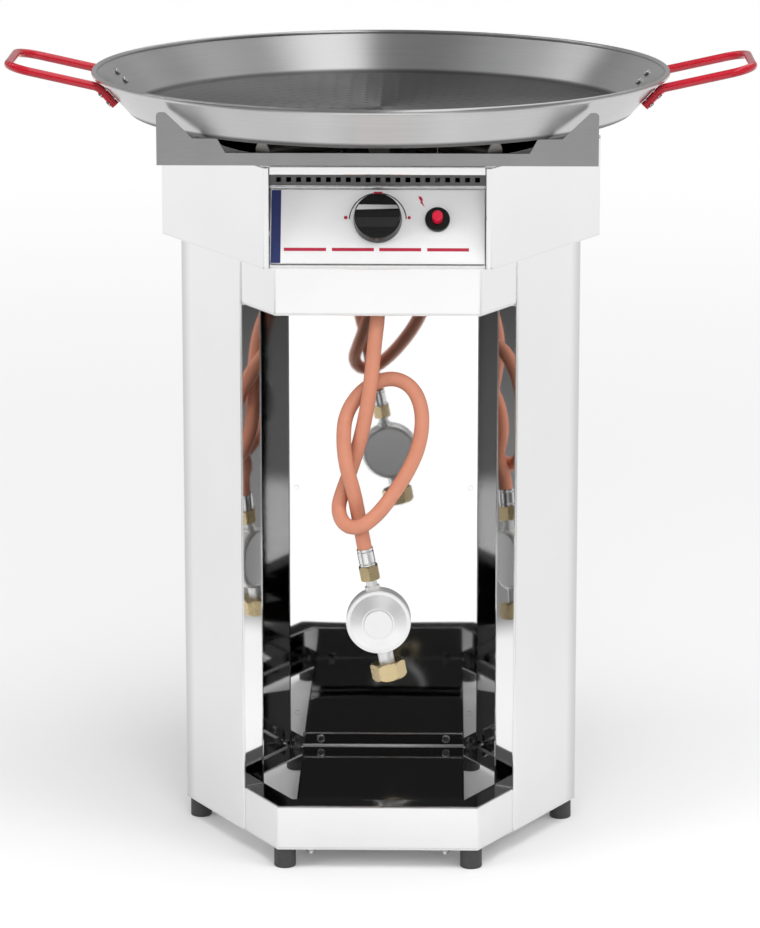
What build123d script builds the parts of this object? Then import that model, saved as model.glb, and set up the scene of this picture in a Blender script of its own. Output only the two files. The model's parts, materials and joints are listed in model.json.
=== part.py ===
from build123d import *
from math import cos, radians, sin, sqrt, tan
import os

# Free-standing gas burner stand with a wide steel pan.
# Millimetres. +Z is up, -Y is the front with the control panel, and the origin is on the floor under the
# centre of the pan.

# Sheet metal and clearances
SHEET = 1.2
PLATE = 3.0
GAP = 0.3
RUN = 0.05
SCREW_GAP = 0.2

# Shares: of a head's height that is rounded, of a nut's corner that is turned off, of a run that bends
ROUND_SHARE = 0.6
TURNED_SHARE = 0.9
BEND_SHARE = 0.45

# Cabinet: a regular hexagon in plan, with one flat side to the front
CABINET_SIDE = 208.0
FOOT_HEIGHT = 21.0
FOOT_R = 11.4
FOOT_EDGE = 1.0
FOOT_INSET = 14.0
PLINTH_HEIGHT = 47.0
PLINTH_LEDGE = 24.5
DOORWAY_HEIGHT = 519.0
APRON_HEIGHT = 51.0
APRON_HEM = 6.0
DOORWAY_REACH = 75.0
LAP = 35.0
RETURN_FLANGE = 24.0
BOTTOM_FLANGE = 30.0
TOP_FLANGE = 20.0
BACK_LIP = 15.0
FLOOR_WIDTH = 180.0
FLOOR_UPSTAND = 16.0

# Burner box on the cabinet
BOX_SIDE = 229.0
BOX_HEIGHT = 105.0
CHEEK_DEPTH = 48.0
RECESS_RIM = 4.5
TOP_OPENING_R = 176.0
TOP_LIP = 9.0
AIR_HOLE_R = 18.0
AIR_HOLE_REACH = 110.0
AIR_HOLES = 6

# Control panel, sloping back from its foot
PANEL_TILT = 27.0
PANEL_LENGTH = 80.0
PANEL_LIP = 3.0
PANEL_TOP_LIP = 3.3
FASCIA = 0.5
FASCIA_MARGIN = 1.3
VENT_HOLES = 21
VENT_PITCH = 10.0
VENT_HOLE = 5.0
VENT_HOLE_RISE = 8.9

# Knob, its stem and the valve behind the panel
KNOB_UP = 46.6
KNOB_R = 24.5
KNOB_DRAFT = 1.2
KNOB_SKIRT = 13.2
KNOB_GRIP_HEIGHT = 7.0
KNOB_GRIP_WIDTH = 7.4
KNOB_GRIP_SLOPE = 8.0
KNOB_EDGE_R = 1.0
GRIP_EDGE_R = 0.8
KNOB_TRAVEL = 3.0
STEM_R = 4.0
STEM_IN_KNOB = 14.0
STEM_IN_VALVE = 14.0
VALVE_HALF_WIDTH = 16.0
VALVE_HALF_HEIGHT = 17.0
VALVE_SETBACK = 3.6
VALVE_DEPTH = 60.0
VALVE_BACK_Y = -132.0
VALVE_UNDERSIDE_RISE = 26.0
VALVE_NECK_R = 9.0
PLUG_LENGTH = 10.0
PLUG_PORT_R = 1.2
PLUG_PORT_RISE = 2.0
TONGUE_HALF_WIDTH = 1.0
TONGUE_HALF_HEIGHT = 2.0
TONGUE_IN_PLUG = 3.0
SPRING_LENGTH = 12.0
SPRING_INSET = 1.0
SPRING_WIRE_R = 0.4
SPRING_COILS = 5

# Igniter
IGNITER_X = 60.0
IGNITER_UP = 47.0
BEZEL_R = 12.5
BEZEL_HEIGHT = 6.0
BEZEL_EDGE_R = 2.0
BARREL_R = 8.5
BARREL_DEPTH = 56.0
PIEZO_NUT_R = 13.0
PIEZO_NUT_HEIGHT = 6.0
BUTTON_R = 5.4
BUTTON_EDGE_R = 1.5
BUTTON_PROUD = 6.5
BUTTON_TRAVEL = 5.0
BUTTON_LENGTH = 22.0

# Gas inlet, supply pipe, injector and mixing tube
INLET_Y = -157.0
PIPE_R = 6.0
PIPE_WALL = 1.0
INLET_NUT_FLATS = 22.0
INLET_NUT_HEIGHT = 12.0
GAS_Z_RISE = 36.0
INJECTOR_R = 5.0
INJECTOR_LENGTH = 16.0
INJECTOR_BORE_R = 0.8
MIXER_R = 15.0
MIXER_WALL = 1.5
MIXER_BEND = 26.0
MIXER_START_Y = -112.0
SHUTTER_LENGTH = 14.0
SHUTTER_WALL = 1.5

# Burner: a hub with long and short tube arms
HUB_R = 36.0
HUB_WALL = 3.0
HUB_HEIGHT = 45.0
BURNER_DROP = 26.0
ARM_PAIRS = 4
ARM_R = 11.0
ARM_WALL = 1.5
LONG_ARM = 165.0
SHORT_ARM = 100.0
ARM_CAP = 2.0
PORT_R = 1.5
PORT_PITCH = 12.0
PORT_START = 8.4
BRACKET_HALF_SPAN = 52.0
BRACKET_HALF_WIDTH = 25.0

# Flame sensor and spark electrode beside one long arm
SENSOR_OFFSET = 16.0
ELECTRODE_ALONG = 100.0
SENSOR_ALONG = 126.0
TAB_HALF_WIDTH = 8.0
TAB_OVERHANG = 10.0
TAB_DROP = 25.0
INSULATOR_R = 4.0
INSULATOR_LENGTH = 36.0
ELECTRODE_R = 1.2
ELECTRODE_TIP = 14.0
ELECTRODE_TAIL = 6.0
SENSOR_R = 3.0
SENSOR_LENGTH = 42.0
LEAD_R = 2.0
LEAD_PIN = 4.0
LEAD_RUN = 16.0
LEAD_RISE = 12.0
LEAD_BEND = 9.0

# Pan and its handles
SUPPORT_RISE = 27.0
SUPPORT_OUTSIDE = 52.0
SUPPORT_TIP_RISE = 53.0
SUPPORT_TIP_WIDTH = 8.5
SUPPORT_MIDDLE_RISE = 12.5
SHOULDER_INSIDE = 8.5
SHOULDER_OUTSIDE = 16.0
SUPPORT_STEP = 8.0
SUPPORT_FLANGE = 25.0
SUPPORT_CORNER_R = 3.5
PAN_RIM_R = 300.0
PAN_BOTTOM_R = 260.0
PAN_HEIGHT = 44.0
PAN_WALL = 1.5
PAN_CORNER_R = 8.0
RIM_BEAD_R = 3.0
HANDLE_ROD_R = 4.5
HANDLE_OUT = 87.5
HANDLE_HALF_WIDTH = 60.0
HANDLE_RISE = 8.0
HANDLE_FOOT_IN = 34.0
HANDLE_KNEE_IN = 9.0
HANDLE_KNEE_R = 15.0
HANDLE_CORNER_R = 24.0
RIVET_R = 2.0
RIVET_HEAD_R = 4.0
RIVET_HEAD = 2.0
RIVET_TAIL_R = 3.0
RIVET_TAIL = 1.0
RIVET_PLACES = (16.0, 28.0)

# Screws, bolts and nuts
STUD_R = 3.0
STUD_IN_FOOT = 12.0
NUT_FLATS = 10.0
NUT_HEIGHT = 5.0
BOLT_R = 2.5
BOLT_HEAD_R = 4.6
BOLT_HEAD = 3.0
BOLT_END = 3.0
FLOOR_BOLT_X = 70.0
FLOOR_BOLT_INSET = 14.0
FLOOR_BOLT_RISE = 9.6
BACK_SCREW_HEIGHTS = (40.0, 300.0, 560.0)
BACK_SCREW_LENGTH = 2.6
BOX_SCREW_X = 60.0
SUPPORT_SCREW_X = 80.0

# Hose and regulator
HOSE_R = 7.5
FERRULE_WALL = 0.9
LOWER_FERRULE_LENGTH = 18.0
CRIMP_IN = 2.5
CRIMP_DEPTH = 0.5
UNION_NUT_FLATS = 19.0
UNION_NUT_HEIGHT = 15.0
REGULATOR_DOWN = 76.0
REGULATOR_R = 33.0
REGULATOR_BACK = 18.0
REGULATOR_SHELL = 3.0
REGULATOR_EDGE_R = 5.0
COVER_RISE = 8.5
COVER_STEP = 4.0
COVER_TOP_R = 16.5
COVER_EDGE_R = 1.2
COVER_RIM_R = 1.2
SHOULDER_WIDER = 2.0
SHOULDER_LENGTH = 3.0
BADGE_R = 14.7
BADGE_RISE = 2.5
BADGE_EDGE_R = 1.0
BOSS_PROUD = 2.0
DIAPHRAGM = 1.0
DIAPHRAGM_INSET = 1.0
OUTLET_R = 5.5
REGULATOR_SPRING_R = 8.0
BOTTLE_STEM_R = 8.0
BOTTLE_NUT_FLATS = 31.0
BOTTLE_NUT_HEIGHT = 17.5
BOTTLE_NUT_WALL = 4.0
BOTTLE_NUT_DOWN = 121.5
BOTTLE_RELIEF = 6.0
BOTTLE_RELIEF_R = 12.5
BOTTLE_THREAD_R = 10.9
STEM_COLLAR_R = 10.5
STEM_COLLAR = 2.5
GASKET = 2.0
GASKET_R = 9.0
NOSE_R = 5.0

# Hose route, from the inlet down round a loose overhand knot to the regulator's ferrule: x, y and the drop
# below the burner box
HOSE_DROPS = [
    (0, INLET_Y, 30),
    (0, INLET_Y, 55),
    (-3, -166, 78),
    (-6, -180, 110),
    (-10, -183.5, 142),
    (-17, -181, 177),
    (-26, -177, 207),
    (-35, -180, 231),
    (-41, -191, 249),
    (-34, -202.5, 263.5),
    (-18, -209, 265),
    (-1, -208, 252),
    (13, -200, 236),
    (31, -191, 210),
    (43, -183, 183),
    (46, -175, 153),
    (38, -168, 130),
    (21, -162.5, 119),
    (1, -161.5, 121),
    (-19, -167, 133),
    (-33, -176, 154),
    (-35, -188, 177),
    (-32, -198.5, 202),
    (-24, -198, 229),
    (-20, -188, 254),
    (-16.2, -196.5, 272),
    (-13, -196.5, 288.8),
]

# Heights and distances that follow from the sizes above
COS30 = cos(radians(30))
PLINTH_FLAT = CABINET_SIDE * COS30
PANEL_FLAT = PLINTH_FLAT + SHEET
BOX_FLAT = BOX_SIDE * COS30
Z_PLINTH = FOOT_HEIGHT
Z_FLOOR = Z_PLINTH + SHEET
Z_PLINTH_TOP = Z_PLINTH + PLINTH_HEIGHT
Z_APRON = Z_PLINTH_TOP + DOORWAY_HEIGHT
Z_BOX = Z_APRON + APRON_HEIGHT
Z_BOX_FLOOR = Z_BOX + SHEET
Z_BOX_TOP = Z_BOX + BOX_HEIGHT
Z_SEAT = Z_BOX_TOP + SUPPORT_RISE
Z_ARMS = Z_SEAT - BURNER_DROP
Z_GAS = Z_BOX + GAS_Z_RISE
Z_RIM = Z_SEAT + PAN_HEIGHT - RIM_BEAD_R
PANEL_FRONT = BOX_FLAT - SHEET - GAP
RECESS_HALF_WIDTH = BOX_SIDE / 2 - RECESS_RIM
PANEL_HALF_WIDTH = RECESS_HALF_WIDTH - SHEET - SCREW_GAP
LIP_HALF_WIDTH = RECESS_HALF_WIDTH - 2 * SHEET
Z_PANEL_FOOT = Z_BOX_FLOOR + PANEL_LIP
PANEL_TOP_Y = PANEL_LENGTH * sin(radians(PANEL_TILT)) - PANEL_FRONT
Z_PANEL_TOP = Z_PANEL_FOOT + PANEL_LENGTH * cos(radians(PANEL_TILT))

# Frames that tilted pieces are built in: x to the right, y up the slope, z out of the panel
PANEL_FRAME = Plane(
    origin=(0, -PANEL_FRONT, Z_PANEL_FOOT),
    x_dir=(1, 0, 0),
    z_dir=(0, -cos(radians(PANEL_TILT)), sin(radians(PANEL_TILT))),
)
KNOB_AXIS = PANEL_FRAME * Pos(0, KNOB_UP, 0)
IGNITER_AXIS = PANEL_FRAME * Pos(IGNITER_X, IGNITER_UP, 0)

# The regulator hangs in line with the hose's last run: z runs down its stem, y to the front
HOSE_ROUTE = [Vector(x, y, Z_BOX - drop) for x, y, drop in HOSE_DROPS]
HOSE_END_RUN = HOSE_ROUTE[-1] - HOSE_ROUTE[-2]
REGULATOR_FRAME = Plane(
    origin=HOSE_ROUTE[-1],
    x_dir=(-HOSE_END_RUN.Z, 0, HOSE_END_RUN.X),
    z_dir=HOSE_END_RUN,
)


# Helpers
def hex_corner(flat, k):
    """Corner k of the hexagon whose flat sides lie at distance flat: 0 is right, then anticlockwise."""
    return Vector(flat / COS30, 0).rotate(Axis.Z, 60 * k)


def toward(start, end, distance):
    """The point at a distance from start on the way to end."""
    return start + (end - start).normalized() * distance


def sheet_outline(points, thickness):
    """Outline of a folded sheet with one face through the points and its thickness on their left."""
    points = [Vector(*p) for p in points]
    runs = [(b - a).normalized() for a, b in zip(points, points[1:])]
    lefts = [Vector(-run.Y, run.X) for run in runs]
    offset = []
    for before, point, after in zip(lefts[:1] + lefts, points, lefts + lefts[-1:]):
        offset.append(point + (before + after) * (thickness / (1 + before.dot(after))))
    outline = points + offset[::-1]
    return Polygon(*[(p.X, p.Y) for p in outline], align=None)


def upright(face, low, high):
    """A flat outline in plan, raised from one height to another."""
    return Pos(0, 0, low) * extrude(face, high - low, dir=(0, 0, 1))


def across(face, half_width):
    """A profile drawn in Y and Z, as wide in X as half_width on both sides."""
    return extrude(Plane.YZ * face, half_width, both=True)


def block(low, high):
    """A box from its lowest to its highest corner."""
    size = [b - a for a, b in zip(low, high)]
    return Pos(*low) * Box(*size, align=Align.MIN)


def rod(r, low, high):
    """A cylinder on the Z axis between two heights."""
    return Pos(0, 0, low) * Cylinder(r, high - low, align=(Align.CENTER, Align.CENTER, Align.MIN))


def pipe(r, wall, low, high):
    return rod(r, low, high) - rod(r - wall, low, high)


def hexagon(flats, low, high):
    """A hexagon prism on the Z axis, flats apart across its flat sides."""
    return upright(RegularPolygon(flats / 2, 6, major_radius=False), low, high)


def nut(flats, bore_r, low, high):
    """A hexagon nut with its corners turned off at both ends."""
    corner_r = flats / 2 / COS30
    turned_off = (corner_r - flats / 2) * TURNED_SHARE
    turned = chamfer(rod(corner_r, low, high).edges().filter_by(GeomType.CIRCLE), turned_off)
    return (hexagon(flats, low, high) & turned) - rod(bore_r, low, high)


def bolt(shank_r, head_r, head, length):
    """A round-headed screw with its head on the plane z = 0 and its shank below."""
    dome = fillet(rod(head_r, 0, head).edges().group_by(Axis.Z)[-1], head * ROUND_SHARE)
    return dome + rod(shank_r, -length, 0)


def coil(r, wire_r, length, turns, low):
    """A round-wire spring on the Z axis that stands on the height low."""
    path = Helix((length - 2 * wire_r) / turns, length - 2 * wire_r, r)
    ring = Plane(origin=path @ 0, z_dir=path % 0) * Circle(wire_r)
    return Pos(0, 0, low + wire_r) * sweep(ring, path, is_frenet=True)


def tube_along(path, r):
    return sweep(Plane(origin=path @ 0, z_dir=path % 0) * Circle(r), path)


def largest_bends(points):
    """One radius for each corner of a route, as large as its two runs allow."""
    radii = []
    for before, here, after in zip(points, points[1:], points[2:]):
        arrive = here - before
        leave = after - here
        half_turn = radians(arrive.get_angle(leave)) / 2
        radii.append(BEND_SHARE * min(arrive.length, leave.length) / tan(half_turn))
    return radii


def mirrored(shape):
    return mirror(shape, about=Plane.YZ)


def compound(shapes):
    return Compound(children=[solid for shape in shapes for solid in shape.solids()])


os.makedirs("parts", exist_ok=True)


def save(name, shape):
    export_step(shape, "parts/" + name + ".step")


# Places of feet, bolts and screws
FOOT_PLACES = [hex_corner(PLINTH_FLAT - FOOT_INSET * COS30, k) for k in range(6)]
FLOOR_BOLT_Y = -(PLINTH_FLAT - FLOOR_BOLT_INSET)
FRONT_FLOOR_BOLTS = [Pos(x, FLOOR_BOLT_Y, 0) for x in (-FLOOR_BOLT_X, FLOOR_BOLT_X)]
BACK_INNER_Y = PLINTH_FLAT - SHEET
REAR_FLOOR_BOLTS = [
    Pos(x, BACK_INNER_Y - SHEET, Z_FLOOR + FLOOR_BOLT_RISE) * Rot(90, 0, 0)
    for x in (-FLOOR_BOLT_X, FLOOR_BOLT_X)
]
BACK_SCREW_X = CABINET_SIDE / 2 - BACK_LIP / 2
BACK_SCREWS = [
    Pos(x, PANEL_FLAT, Z_PLINTH + rise) * Rot(-90, 0, 0)
    for x in (-BACK_SCREW_X, BACK_SCREW_X)
    for rise in BACK_SCREW_HEIGHTS
]
SIDE_BOX_SCREWS = [Rot(0, 0, turn) * Pos(PANEL_FLAT - TOP_FLANGE / 2, 0, 0) for turn in (30, 150)]
APRON_SCREWS = [Pos(x, -(PLINTH_FLAT - TOP_FLANGE / 2), 0) for x in (-BOX_SCREW_X, BOX_SCREW_X)]
SUPPORT_SCREW_Y = BOX_FLAT - PLATE - SUPPORT_FLANGE / 2
SUPPORT_SCREWS = [Pos(x, -SUPPORT_SCREW_Y, 0) for x in (-SUPPORT_SCREW_X, SUPPORT_SCREW_X)]


def drill(places, r, low, high):
    """Holes along each place's own Z axis."""
    return [place * rod(r, low, high) for place in places]


# Base plinth: a folded band round the open front, with a ledge on top and a flange for the feet below
def front_band(flat):
    left, right = hex_corner(flat, 4), hex_corner(flat, 5)
    reach = DOORWAY_REACH + LAP
    return [toward(left, hex_corner(flat, 3), reach), left, right, toward(right, hex_corner(flat, 0), reach)]


FOOT_HOLES = [Pos(place) * rod(STUD_R + SCREW_GAP, 0, Z_FLOOR) for place in FOOT_PLACES]
plinth_band = front_band(PLINTH_FLAT)
base_plinth = upright(sheet_outline(plinth_band, SHEET), Z_PLINTH, Z_PLINTH_TOP)
base_plinth += upright(sheet_outline(plinth_band, PLINTH_LEDGE), Z_PLINTH_TOP - SHEET, Z_PLINTH_TOP)
base_plinth += upright(sheet_outline(plinth_band, BOTTOM_FLANGE), Z_PLINTH, Z_FLOOR)
base_plinth -= FOOT_HOLES
base_plinth -= drill(FRONT_FLOOR_BOLTS, BOLT_R + SCREW_GAP, Z_PLINTH, Z_FLOOR)
save("base_plinth", base_plinth)

# Front apron: the same band above the doorway, with a hem below and a flange under the burner box
front_apron = upright(sheet_outline(plinth_band, SHEET), Z_APRON, Z_BOX)
front_apron += upright(sheet_outline(plinth_band, APRON_HEM), Z_APRON, Z_APRON + SHEET)
front_apron += upright(sheet_outline(plinth_band, TOP_FLANGE), Z_BOX - SHEET, Z_BOX)
front_apron -= drill(APRON_SCREWS, BOLT_R + SCREW_GAP, Z_APRON, Z_BOX)
front_apron -= Pos(0, INLET_Y, 0) * rod(INLET_NUT_FLATS / 2 / COS30 + GAP, Z_APRON, Z_BOX)
save("front_apron", front_apron)

# Side panels: each wraps from the doorway round the side corner to a lip on the back
panel_corners = [hex_corner(PANEL_FLAT, k) for k in (2, 3, 4)]
back_corner, side_corner, front_corner = panel_corners
door_edge = toward(front_corner, side_corner, DOORWAY_REACH)
lap_end = toward(front_corner, side_corner, DOORWAY_REACH + LAP + 2 * SHEET)
lip_end = back_corner + Vector(BACK_LIP, 0)
face_inward = Vector(COS30, 0.5)
side_panel = upright(sheet_outline([lip_end, back_corner, side_corner, door_edge], SHEET), Z_PLINTH, Z_BOX)
side_panel += upright(
    sheet_outline([door_edge, door_edge + face_inward * RETURN_FLANGE], SHEET), Z_PLINTH_TOP, Z_APRON
)
flange_run = [back_corner, side_corner, lap_end]
side_panel += upright(sheet_outline(flange_run, BOTTOM_FLANGE), Z_PLINTH, Z_FLOOR)
side_panel += upright(sheet_outline(flange_run, TOP_FLANGE), Z_BOX - SHEET, Z_BOX)
side_panel -= FOOT_HOLES
side_panel -= drill(SIDE_BOX_SCREWS, BOLT_R + SCREW_GAP, Z_BOX - SHEET, Z_BOX)
side_panel -= drill(BACK_SCREWS, BOLT_R + SCREW_GAP, -2 * SHEET, 0)
save("left_side_panel", side_panel)
save("right_side_panel", mirrored(side_panel))

# Back panel: a flat sheet behind the lips, and the floor plate that is bolted to it
back_half = CABINET_SIDE / 2 - SCREW_GAP
back_panel = block((-back_half, BACK_INNER_Y, Z_FLOOR), (back_half, PLINTH_FLAT, Z_BOX - SHEET))
back_panel -= drill(BACK_SCREWS, BOLT_R + SCREW_GAP, -3 * SHEET, 0)
back_panel -= drill(REAR_FLOOR_BOLTS, BOLT_R + SCREW_GAP, -3 * SHEET, 0)
save("back_panel", back_panel)

floor_half = FLOOR_WIDTH / 2
floor_plate = block((-floor_half, GAP - BACK_INNER_Y, Z_FLOOR), (floor_half, BACK_INNER_Y, Z_FLOOR + SHEET))
floor_plate += block(
    (-floor_half, BACK_INNER_Y - SHEET, Z_FLOOR), (floor_half, BACK_INNER_Y, Z_FLOOR + FLOOR_UPSTAND)
)
floor_plate -= drill(FRONT_FLOOR_BOLTS, BOLT_R + SCREW_GAP, Z_FLOOR, Z_FLOOR + SHEET)
floor_plate -= drill(REAR_FLOOR_BOLTS, BOLT_R + SCREW_GAP, -2 * SHEET, 0)
nut_room = rod(NUT_FLATS / 2 / COS30 + GAP, Z_FLOOR, Z_FLOOR + SHEET)
floor_plate -= [Pos(place) * nut_room for place in FOOT_PLACES]
save("floor_plate", floor_plate)

# Feet with their studs and nuts
foot = chamfer(rod(FOOT_R, 0, FOOT_HEIGHT).edges().group_by(Axis.Z)[0], FOOT_EDGE)
foot -= rod(STUD_R, FOOT_HEIGHT - STUD_IN_FOOT, FOOT_HEIGHT)
stud_top = Z_FLOOR + NUT_HEIGHT + BOLT_END
stud = rod(STUD_R, FOOT_HEIGHT - STUD_IN_FOOT, stud_top)
foot_nut = nut(NUT_FLATS, STUD_R, Z_FLOOR, Z_FLOOR + NUT_HEIGHT)
save("feet", compound([Pos(place) * foot for place in FOOT_PLACES]))
save("foot_studs", compound([Pos(place) * stud for place in FOOT_PLACES]))
save("foot_nuts", compound([Pos(place) * foot_nut for place in FOOT_PLACES]))

# Bolts and nuts that hold the floor plate
floor_bolt = bolt(BOLT_R, BOLT_HEAD_R, BOLT_HEAD, 2 * SHEET + NUT_HEIGHT + BOLT_END)
floor_nut = nut(NUT_FLATS, BOLT_R, -2 * SHEET - NUT_HEIGHT, -2 * SHEET)
floor_places = [Pos(0, 0, Z_FLOOR + SHEET) * place for place in FRONT_FLOOR_BOLTS] + REAR_FLOOR_BOLTS
save("floor_bolts", compound([place * floor_bolt for place in floor_places]))
save("floor_nuts", compound([place * floor_nut for place in floor_places]))

# Screws through the back lips
back_screw = bolt(BOLT_R, BOLT_HEAD_R, BOLT_HEAD, BACK_SCREW_LENGTH)
save("back_screws", compound([place * back_screw for place in BACK_SCREWS]))

# Burner box: walls with a narrow rim and cheeks round the recess, floor and top plate
box_corners = [hex_corner(BOX_FLAT, k) for k in (5, 0, 1, 2, 3, 4)]
box_walls = upright(sheet_outline(box_corners, SHEET), Z_BOX, Z_BOX_TOP - SHEET)
cheek = block(
    (RECESS_HALF_WIDTH - SHEET, -BOX_FLAT, Z_BOX_FLOOR),
    (RECESS_HALF_WIDTH, CHEEK_DEPTH - BOX_FLAT, Z_BOX_TOP - SHEET),
)
cheek += block(
    (RECESS_HALF_WIDTH - SHEET, -BOX_FLAT, Z_BOX),
    (BOX_SIDE / 2 - SHEET / 2, SHEET - BOX_FLAT, Z_BOX_TOP - SHEET),
)
box_walls += [cheek, mirrored(cheek)]
save("burner_box", box_walls)

box_floor = upright(RegularPolygon(BOX_FLAT - SHEET, 6, major_radius=False), Z_BOX, Z_BOX_FLOOR)
box_floor += block(
    (-LIP_HALF_WIDTH, -BOX_FLAT, Z_BOX), (LIP_HALF_WIDTH, SHEET - BOX_FLAT, Z_PANEL_FOOT + PANEL_LIP / 2)
)
box_floor -= drill(SIDE_BOX_SCREWS + APRON_SCREWS, BOLT_R + SCREW_GAP, Z_BOX, Z_BOX_FLOOR)
box_floor -= Pos(0, INLET_Y, 0) * rod(PIPE_R + SCREW_GAP, Z_BOX, Z_BOX_FLOOR)
box_floor -= [
    Rot(0, 0, 360 * k / AIR_HOLES) * Pos(AIR_HOLE_REACH, 0, 0) * rod(AIR_HOLE_R, Z_BOX, Z_BOX_FLOOR)
    for k in range(AIR_HOLES)
]
save("box_floor", box_floor)

top_plate = upright(RegularPolygon(BOX_FLAT, 6, major_radius=False), Z_BOX_TOP - SHEET, Z_BOX_TOP)
top_plate += block(
    (-LIP_HALF_WIDTH, -BOX_FLAT, Z_BOX_TOP - TOP_LIP), (LIP_HALF_WIDTH, SHEET - BOX_FLAT, Z_BOX_TOP)
)
top_plate -= rod(TOP_OPENING_R, Z_BOX_TOP - SHEET, Z_BOX_TOP)
support_holes = drill(SUPPORT_SCREWS, BOLT_R + SCREW_GAP, Z_BOX_TOP - SHEET, Z_BOX_TOP + PLATE)
top_plate -= support_holes
top_plate -= [mirror(hole, about=Plane.XZ) for hole in support_holes]
save("top_plate", top_plate)

box_screw = Rot(180, 0, 0) * bolt(BOLT_R, BOLT_HEAD_R, BOLT_HEAD, 2 * SHEET + BOLT_END)
box_screw_places = [Pos(0, 0, Z_BOX - SHEET) * place for place in SIDE_BOX_SCREWS + APRON_SCREWS]
box_screws = [place * box_screw for place in box_screw_places]

# Control panel: one folded sheet, its fascia and the vent strip above it
panel_profile = [
    (PANEL_TOP_Y, Z_PANEL_TOP + PANEL_TOP_LIP),
    (PANEL_TOP_Y, Z_PANEL_TOP),
    (-PANEL_FRONT, Z_PANEL_FOOT),
    (-PANEL_FRONT, Z_BOX_FLOOR),
]
panel_holes = [
    KNOB_AXIS * rod(VALVE_NECK_R + SCREW_GAP, -3 * SHEET, SHEET),
    IGNITER_AXIS * rod(BARREL_R + SCREW_GAP, -3 * SHEET, SHEET),
]
save("control_panel", across(sheet_outline(panel_profile, SHEET), PANEL_HALF_WIDTH) - panel_holes)

fascia_half = PANEL_HALF_WIDTH - FASCIA_MARGIN
fascia = block((-fascia_half, FASCIA_MARGIN, 0), (fascia_half, PANEL_LENGTH - FASCIA_MARGIN, FASCIA))
save("control_fascia", PANEL_FRAME * fascia - panel_holes)

vent_back_y = PANEL_TOP_Y + SHEET
vent_strip = block(
    (-PANEL_HALF_WIDTH, vent_back_y, Z_PANEL_TOP), (PANEL_HALF_WIDTH, vent_back_y + SHEET, Z_BOX_TOP - SHEET)
)
vent_hole = Pos(0, vent_back_y, Z_PANEL_TOP + VENT_HOLE_RISE) * Box(VENT_HOLE, 4 * SHEET, VENT_HOLE)
vent_strip -= [Pos((k - (VENT_HOLES - 1) / 2) * VENT_PITCH, 0, 0) * vent_hole for k in range(VENT_HOLES)]
save("vent_strip", vent_strip)

# Pan supports: upright plates with shoulders under the pan's edge and raised ends outside its wall
Z_TIP = Z_BOX_TOP + SUPPORT_TIP_RISE
Z_MIDDLE = Z_BOX_TOP + SUPPORT_MIDDLE_RISE
pan_edge_x = sqrt(PAN_BOTTOM_R**2 - BOX_FLAT**2)
support_half_width = pan_edge_x + SUPPORT_OUTSIDE
support_half = [
    (support_half_width, Z_BOX_TOP),
    (support_half_width, Z_TIP),
    (support_half_width - SUPPORT_TIP_WIDTH, Z_TIP),
    (pan_edge_x + SHOULDER_OUTSIDE, Z_SEAT),
    (pan_edge_x - SHOULDER_INSIDE, Z_SEAT),
    (pan_edge_x - SHOULDER_INSIDE - SUPPORT_STEP, Z_MIDDLE),
]
support_outline = Polygon(*support_half, *[(-x, z) for x, z in support_half[::-1]], align=None)
tips = [v for v in support_outline.vertices() if v.Y > Z_TIP - GAP]
support_outline = fillet(tips, SUPPORT_CORNER_R)
pan_support = Pos(0, PLATE - BOX_FLAT, 0) * extrude(Plane.XZ * support_outline, PLATE, dir=(0, -1, 0))
flange_half = SUPPORT_SCREW_X + SUPPORT_FLANGE
Z_FLANGE = Z_BOX_TOP + PLATE
pan_support += block(
    (-flange_half, -BOX_FLAT, Z_BOX_TOP), (flange_half, PLATE + SUPPORT_FLANGE - BOX_FLAT, Z_FLANGE)
)
pan_support -= support_holes
save("front_pan_support", pan_support)
save("rear_pan_support", mirror(pan_support, about=Plane.XZ))

support_screw = Pos(0, 0, Z_FLANGE) * bolt(BOLT_R, BOLT_HEAD_R, BOLT_HEAD, PLATE + SHEET + BOLT_END)
front_support_screws = [place * support_screw for place in SUPPORT_SCREWS]
rear_support_screws = [mirror(screw, about=Plane.XZ) for screw in front_support_screws]
save("box_screws", compound(box_screws + front_support_screws + rear_support_screws))

# Burner hub, arms and caps
hub_top = Z_ARMS + ARM_R + HUB_WALL
hub_bottom = hub_top - HUB_HEIGHT
arm_reach = [SHORT_ARM, LONG_ARM] * ARM_PAIRS
ARM_TURN = 360 / len(arm_reach)
arm_bore = Pos(0, 0, Z_ARMS) * Rot(0, 90, 0) * rod(ARM_R + RUN, 0, HUB_R + HUB_WALL)
arm_bores = [Rot(0, 0, ARM_TURN * k) * arm_bore for k in range(len(arm_reach))]
hub = fillet(rod(HUB_R, hub_bottom, hub_top).edges().group_by(Axis.Z)[-1], HUB_WALL * ROUND_SHARE)
hub -= rod(HUB_R - HUB_WALL, hub_bottom + HUB_WALL, hub_top - HUB_WALL)
hub -= rod(MIXER_R - MIXER_WALL, hub_bottom, hub_top - HUB_WALL)
hub -= arm_bores
save("burner_hub", hub)


def burner_arm(reach):
    """A tube along X with a row of flame ports in its top."""
    start = HUB_R - HUB_WALL
    tube = Pos(0, 0, Z_ARMS) * Rot(0, 90, 0) * pipe(ARM_R, ARM_WALL, start, reach)
    ports = int((reach - HUB_R - PORT_PITCH) / PORT_PITCH)
    port = rod(PORT_R, Z_ARMS, Z_ARMS + 2 * ARM_R)
    return tube - [Pos(reach - PORT_START - PORT_PITCH * k, 0, 0) * port for k in range(ports)]


def burner_cap(reach):
    disc = Pos(0, 0, Z_ARMS) * Rot(0, 90, 0) * rod(ARM_R, reach, reach + ARM_CAP)
    return fillet(disc.edges().group_by(Axis.X)[-1], ARM_CAP * ROUND_SHARE)


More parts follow.
